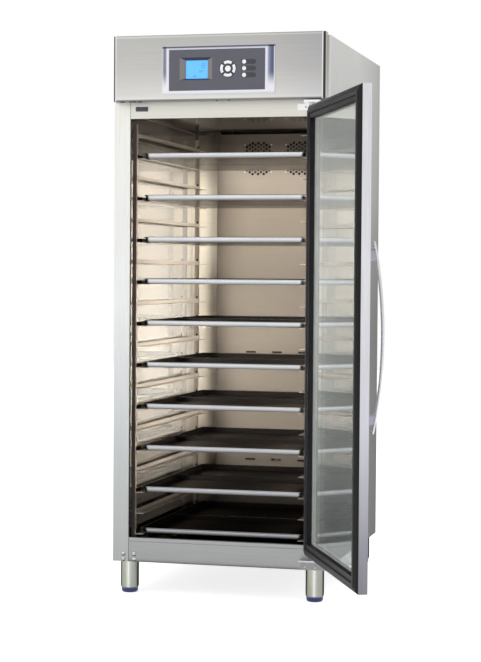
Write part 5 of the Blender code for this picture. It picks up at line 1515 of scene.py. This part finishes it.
def make_door():
    outer = door_ring("door_outer_frame", [
        (0, OUTER_BACK), (0, DOOR_FRONT + 0.0015), (0.0004, DOOR_FRONT + 0.0004), (0.0015, DOOR_FRONT),
        (OUTER_BORDER - 0.0006, DOOR_FRONT), (OUTER_BORDER, DOOR_FRONT + 0.0006), (OUTER_BORDER, OUTER_BACK),
    ])
    hang(outer, anodised, "frame_aluminium", "door_frame")
    lip = OUTER_BORDER + 0.0003
    inner = door_ring("door_inner_ring", [
        (0.0100, INNER_BACK), (0.0090, INNER_BACK - 0.0003), (0.0012, INNER_FRONT + 0.0012),
        (0.0003, INNER_FRONT + 0.0003), (0.0006, INNER_FRONT), (lip, INNER_FRONT), (lip, LIP_FRONT),
        (INNER_BORDER, LIP_FRONT), (INNER_BORDER, INNER_BACK - 0.0008), (INNER_BORDER - 0.0008, INNER_BACK),
        (0.0366, INNER_BACK), (0.0364, INNER_BACK - 0.0005), (0.0340, INNER_BACK - 0.0005),
        (0.0338, INNER_BACK), (0.0176, INNER_BACK), (0.0174, INNER_BACK - 0.0004),
        (0.0162, INNER_BACK - 0.0004), (0.0160, INNER_BACK),
    ])
    hang(inner, charcoal, "frame_plastic", "door_inner_frame")
    for name, front, *replaced in (
        ("pane_outer", DOOR_FRONT, "glazing_unit"), ("pane_inner", LIP_FRONT - 0.0003 - PANE),
    ):
        left, foot, right, top, y = shrunk((-DOOR_X, DOOR_FOOT, DOOR_X, DOOR_TOP), PANE_INSET, front)
        pane = block(name, (left, y, foot), (right, y + PANE, top))
        hang(soften(pane, EDGE), glass, "pane_glass", *replaced)
    near, far = DOOR_FRONT + PANE + 0.0001, LIP_FRONT - PANE - 0.0004
    for name, start, end, made, slot in (
        ("glazing_spacer", 0.0415, 0.0500, spacer_metal, "frame_aluminium"),
        ("glazing_sealant", 0.0388, 0.0413, sealant, "seal_rubber"),
    ):
        hang(door_ring(name, [(start, near), (end, near), (end, far), (start, far)]), made, slot)


def make_seal():
    seat = INNER_BACK + 0.0003
    profile = [
        (0.0000, seat), (0.0006, -0.0046), (0.0004, -0.0026), (0.0016, -0.0010), (0.0040, -0.0005),
        (0.0070, -0.0008), (0.0100, -0.0005), (0.0124, -0.0010), (0.0136, -0.0026), (0.0134, -0.0046),
        (0.0140, seat),
    ]
    loops = [shrunk(SEAL, -outset, y) for outset, y in profile]
    ring = smooth(stepped("door_gasket", loops + loops[:1], closed=True), STEEP)
    hang(ring, rubber, "seal_rubber", "door_seal")


def make_handle():
    bow = (HANDLE_HALF ** 2 + HANDLE_BOW ** 2) / (2 * HANDLE_BOW)
    reach = lambda height: HANDLE_REACH - bow + math.sqrt(bow ** 2 - height ** 2)

    def place(u, v):
        height = (2 * v - 1) * (HANDLE_HALF - 0.0008)
        across = HANDLE_X + (u - 0.5) * HANDLE_WIDTH
        return across, DOOR_FRONT - reach(height) + HANDLE_THICK / 2, HANDLE_Z + height

    bar = soften(sheet("handle_bar", (2, 40), place, HANDLE_THICK - 0.0002), 0.0022, 4)
    hang(bar, handle_steel, "handle_steel", "door_handle")
    half, deep = STANDOFF_HALF
    head = DOOR_FRONT - reach(STANDOFF_Z) + HANDLE_THICK - 0.0004
    slant = (reach(STANDOFF_Z + deep) - reach(STANDOFF_Z - deep)) / (2 * deep)
    follow = lambda co: Vector((co.x, co.y - slant * (abs(co.z - HANDLE_Z) - STANDOFF_Z), co.z))
    for side, name in ((-1, "handle_standoff_lower"), (1, "handle_standoff_upper")):
        middle = HANDLE_Z + side * STANDOFF_Z
        low = (HANDLE_X - half, head, middle - deep)
        high = (HANDLE_X + half, DOOR_FRONT - 0.0003, middle + deep)
        stand = round_off(block(name, low, high), lambda co, run: abs(run.y) > FACING, 0.0075, 6)
        pick(stand, lambda co, normal: normal.y < -FACING)
        put(stand, follow)
        close_mesh()
        hang(smooth(stand), standoff_steel, "handle_steel")


# Hinges and small fittings

def screw(name, x, y, z, radius, proud):
    """A pan head with a cross recess, on the Y axis."""
    profile = [
        (radius, 0), (radius, -proud * 0.35), (radius * 0.92, -proud * 0.7), (radius * 0.7, -proud * 0.95),
        (radius * 0.3, -proud),
    ]
    head = turned(name, (x, y, z), profile, 24, "Y")
    arm, wide = radius * 0.5, radius * 0.09
    front, back = y - proud - 0.001, y - proud * 0.3
    for reach, rise in ((arm, wide), (wide, arm)):
        cut(head, block("cross_cutter", (x - reach, front, z - rise), (x + reach, back, z + rise)))
    return smooth(head)


def make_hinges():
    x, y = HINGE_AXIS
    on_axis = lambda start, end, radius, name: rod(name, (x, y, start), (x, y, end), radius)
    corner = lambda co, run: abs(run.z) > FACING and co.y < FRONT - 0.02
    name = "hinge_arm_top"
    low, high = cad("hinge_top")
    left, right = HINGE_TOP_XS
    arm = block(name, (left, low.y, HINGE_TOP_FOOT), (right, HINGE_BACK, high.z))
    soften(round_off(arm, corner, 0.010, 6), BLUNT)
    tongue = soften(block(name, *TONGUE), 0.0012)
    collar = soften(on_axis(DOOR_TOP + 0.0004, HINGE_TOP_FOOT + 0.001, HINGE_COLLAR, name), 0.0005)
    pin = on_axis(DOOR_TOP - PIN_REACH, HINGE_TOP_FOOT + 0.003, HINGE_PIN, name)
    wear(joined([arm, tongue, collar, pin], name), hinge_steel, "hinge_steel", "hinge_top")
    name = "hinge_arm_bottom"
    low, high = cad("hinge_bottom")
    left, right = HINGE_LOW_XS
    shelf = [(low.y, HINGE_SHELF), (HINGE_BACK, HINGE_SHELF), (HINGE_BACK, low.z + 0.0002)]
    bracket = folded(name, shelf, left, right, "X", (0, 0, 1), 0.003, 0.003)
    soften(bracket, 0.0006, 2, STEEP)
    boss = block(name, (left, low.y, 0.152), (right, -0.003, HINGE_SHELF - 0.0028))
    soften(round_off(boss, corner, 0.008, 6), 0.0006)
    collar = soften(on_axis(HINGE_SHELF - 0.001, DOOR_FOOT - 0.0004, HINGE_COLLAR, name), 0.0005)
    pin = on_axis(HINGE_SHELF - 0.002, DOOR_FOOT + PIN_REACH, HINGE_PIN, name)
    wear(joined([bracket, boss, collar, pin], name), hinge_steel, "hinge_steel", "hinge_bottom")


def make_fittings():
    heads = [screw("hinge_screws", *place, *HINGE_SCREW) for place in HINGE_SCREWS]
    wear(joined(heads, "hinge_screws"), screw_steel, "hinge_steel")
    dome = [
        (0.0078, 0), (0.0078, -0.0010), (0.0074, -0.0024), (0.0064, -0.0038), (0.0048, -0.0049),
        (0.0026, -0.0056), (0.0006, -0.0058),
    ]
    heads = [smooth(turned("stile_screws", (x, -0.0001, z), dome, 24, "Y")) for x, z in STILE_SCREWS]
    heads = wear(joined(heads, "stile_screws"), screw_steel, "satin_steel")
    # Painted highlight on the heads' upper sides and painted shade on their lower sides
    tint(heads, screw_light, lambda middle, normal: normal.z > 0.35)
    tint(heads, screw_shade, lambda middle, normal: normal.z < -0.2)
    wear(soften(block("door_switch", *SWITCH), 0.0016, 3), reed_plastic, "panel_plastic")


# The photograph's camera: a horizontal field 481 px wide whose focal length is 1805.7 px

def make_camera():
    yaw, pitch, roll = CAMERA_TURN
    ahead = Vector((-math.sin(yaw) * math.cos(pitch), math.cos(yaw) * math.cos(pitch), -math.sin(pitch)))
    level = Vector((math.cos(yaw), math.sin(yaw), 0))
    above = level.cross(ahead)
    right = math.cos(roll) * level + math.sin(roll) * above
    up = -math.sin(roll) * level + math.cos(roll) * above
    lens = bpy.data.cameras.new("view")
    lens.lens, lens.sensor_width = CAMERA_LENS
    lens.sensor_fit = "HORIZONTAL"
    lens.clip_end = 60
    camera = bpy.data.objects.new("view", lens)
    bpy.context.scene.collection.objects.link(camera)
    turn = Matrix((right, up, -ahead)).transposed().to_4x4()
    camera.matrix_world = Matrix.Translation(CAMERA_PLACE) @ turn
    bpy.context.scene.camera = camera


def seen_directly(tree):
    """1 for rays from the camera, from mirrors and through glass, which see the white backdrop."""
    path = add(tree, "ShaderNodeLightPath").outputs
    links = {0: path["Is Camera Ray"], 1: path["Is Glossy Ray"]}
    either = add(tree, "ShaderNodeMath", links=links, operation="MAXIMUM").outputs[0]
    links = {0: either, 1: path["Is Transmission Ray"]}
    return add(tree, "ShaderNodeMath", links=links, operation="MAXIMUM").outputs[0]


def backdrop(tree, low, high, socket):
    """Lets a strength change between what falls on the cabinet and what is seen directly."""
    limits = {"To Min": low, "To Max": high}
    level = add(tree, "ShaderNodeMapRange", limits, {"Value": seen_directly(tree)}).outputs["Result"]
    tree.links.new(level, socket)


def area(name, place, target, width, height, power, colour="#ffffff", seen=True):
    light = bpy.data.lights.new(name, "AREA")
    light.shape = "RECTANGLE"
    light.size, light.size_y = width, height
    light.energy = power
    light.color = linear(colour)[:3]
    lamp = bpy.data.objects.new(name, light)
    bpy.context.scene.collection.objects.link(lamp)
    lamp.location = spot(*place)
    lamp.rotation_euler = (spot(*target) - spot(*place)).to_track_quat("-Z", "Y").to_euler()
    lamp.visible_camera = lamp.visible_glossy = lamp.visible_transmission = seen


def make_surroundings():
    world = bpy.data.worlds.new("white room")
    bpy.context.scene.world = world
    world.use_nodes = True
    sky = world.node_tree.nodes["Background"]
    sky.inputs["Color"].default_value = linear("#ffffff")
    backdrop(world.node_tree, ROOM_LIGHT, 1.0, sky.inputs["Strength"])
    deselect()
    bpy.ops.mesh.primitive_plane_add(size=30)
    floor = settle("floor")
    ground = finish(
        "white studio floor", ("#f4f4f4", "#f3f3f3", "#f5f5f5"), (0.8, 0.78, 0.82), 0.5,
        Specular_IOR_Level=0.0, Emission_Color=linear("#ffffff"),
    )
    tree = ground.node_tree
    backdrop(tree, 0.0, ROOM_LIGHT, tree.nodes["Principled BSDF"].inputs["Emission Strength"])
    floor.data.materials.append(ground)
    floor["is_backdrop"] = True
    area("key lamp", (-2.4, -3.4, 4.2), (0, 0, 1.0), 2.4, 2.4, 25)
    # The cavity's lamp as it falls between the trays, level by level
    for level, power in enumerate(CAVITY_LIGHT):
        height = TRAY_FOOT + (level + 0.5) * TRAY_PITCH + 0.008
        for side in (-1, 1):
            place, target = (-0.25 * side, 0.40, height), (0.35 * side, 0.40, height)
            area(f"cavity light {level + 1}", place, target, 0.66, 0.06, power, LAMP_COLOUR, False)
    place, target = (-0.300, 0.856, 1.41), (-0.300, 0.930, 1.41)
    area("rear corner light", place, target, 0.035, 0.42, CORNER_LIGHT, LAMP_COLOUR, False)


def make_insulation():
    """The foam block is drawn from its solid, with its own finish."""
    shell = bpy.data.objects["insulation_shell"]
    for slot in shell.material_slots:
        slot.material = foam


make_camera()
make_sides()
make_front_frame()
make_liner()
make_rear()
make_legs()
make_racks()
make_trays()
make_air_panel()
make_duct()
make_lamp()
make_fascia()
make_control_panel()
make_keys()
make_compressor()
make_condenser()
make_door()
make_seal()
make_handle()
make_hinges()
make_fittings()
make_insulation()
make_surroundings()

bpy.context.scene.view_settings.view_transform = "Standard"

({
    "cad": [list(corner) for corner in cad_bounds],
    "visual": [list(corner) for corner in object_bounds()],
})
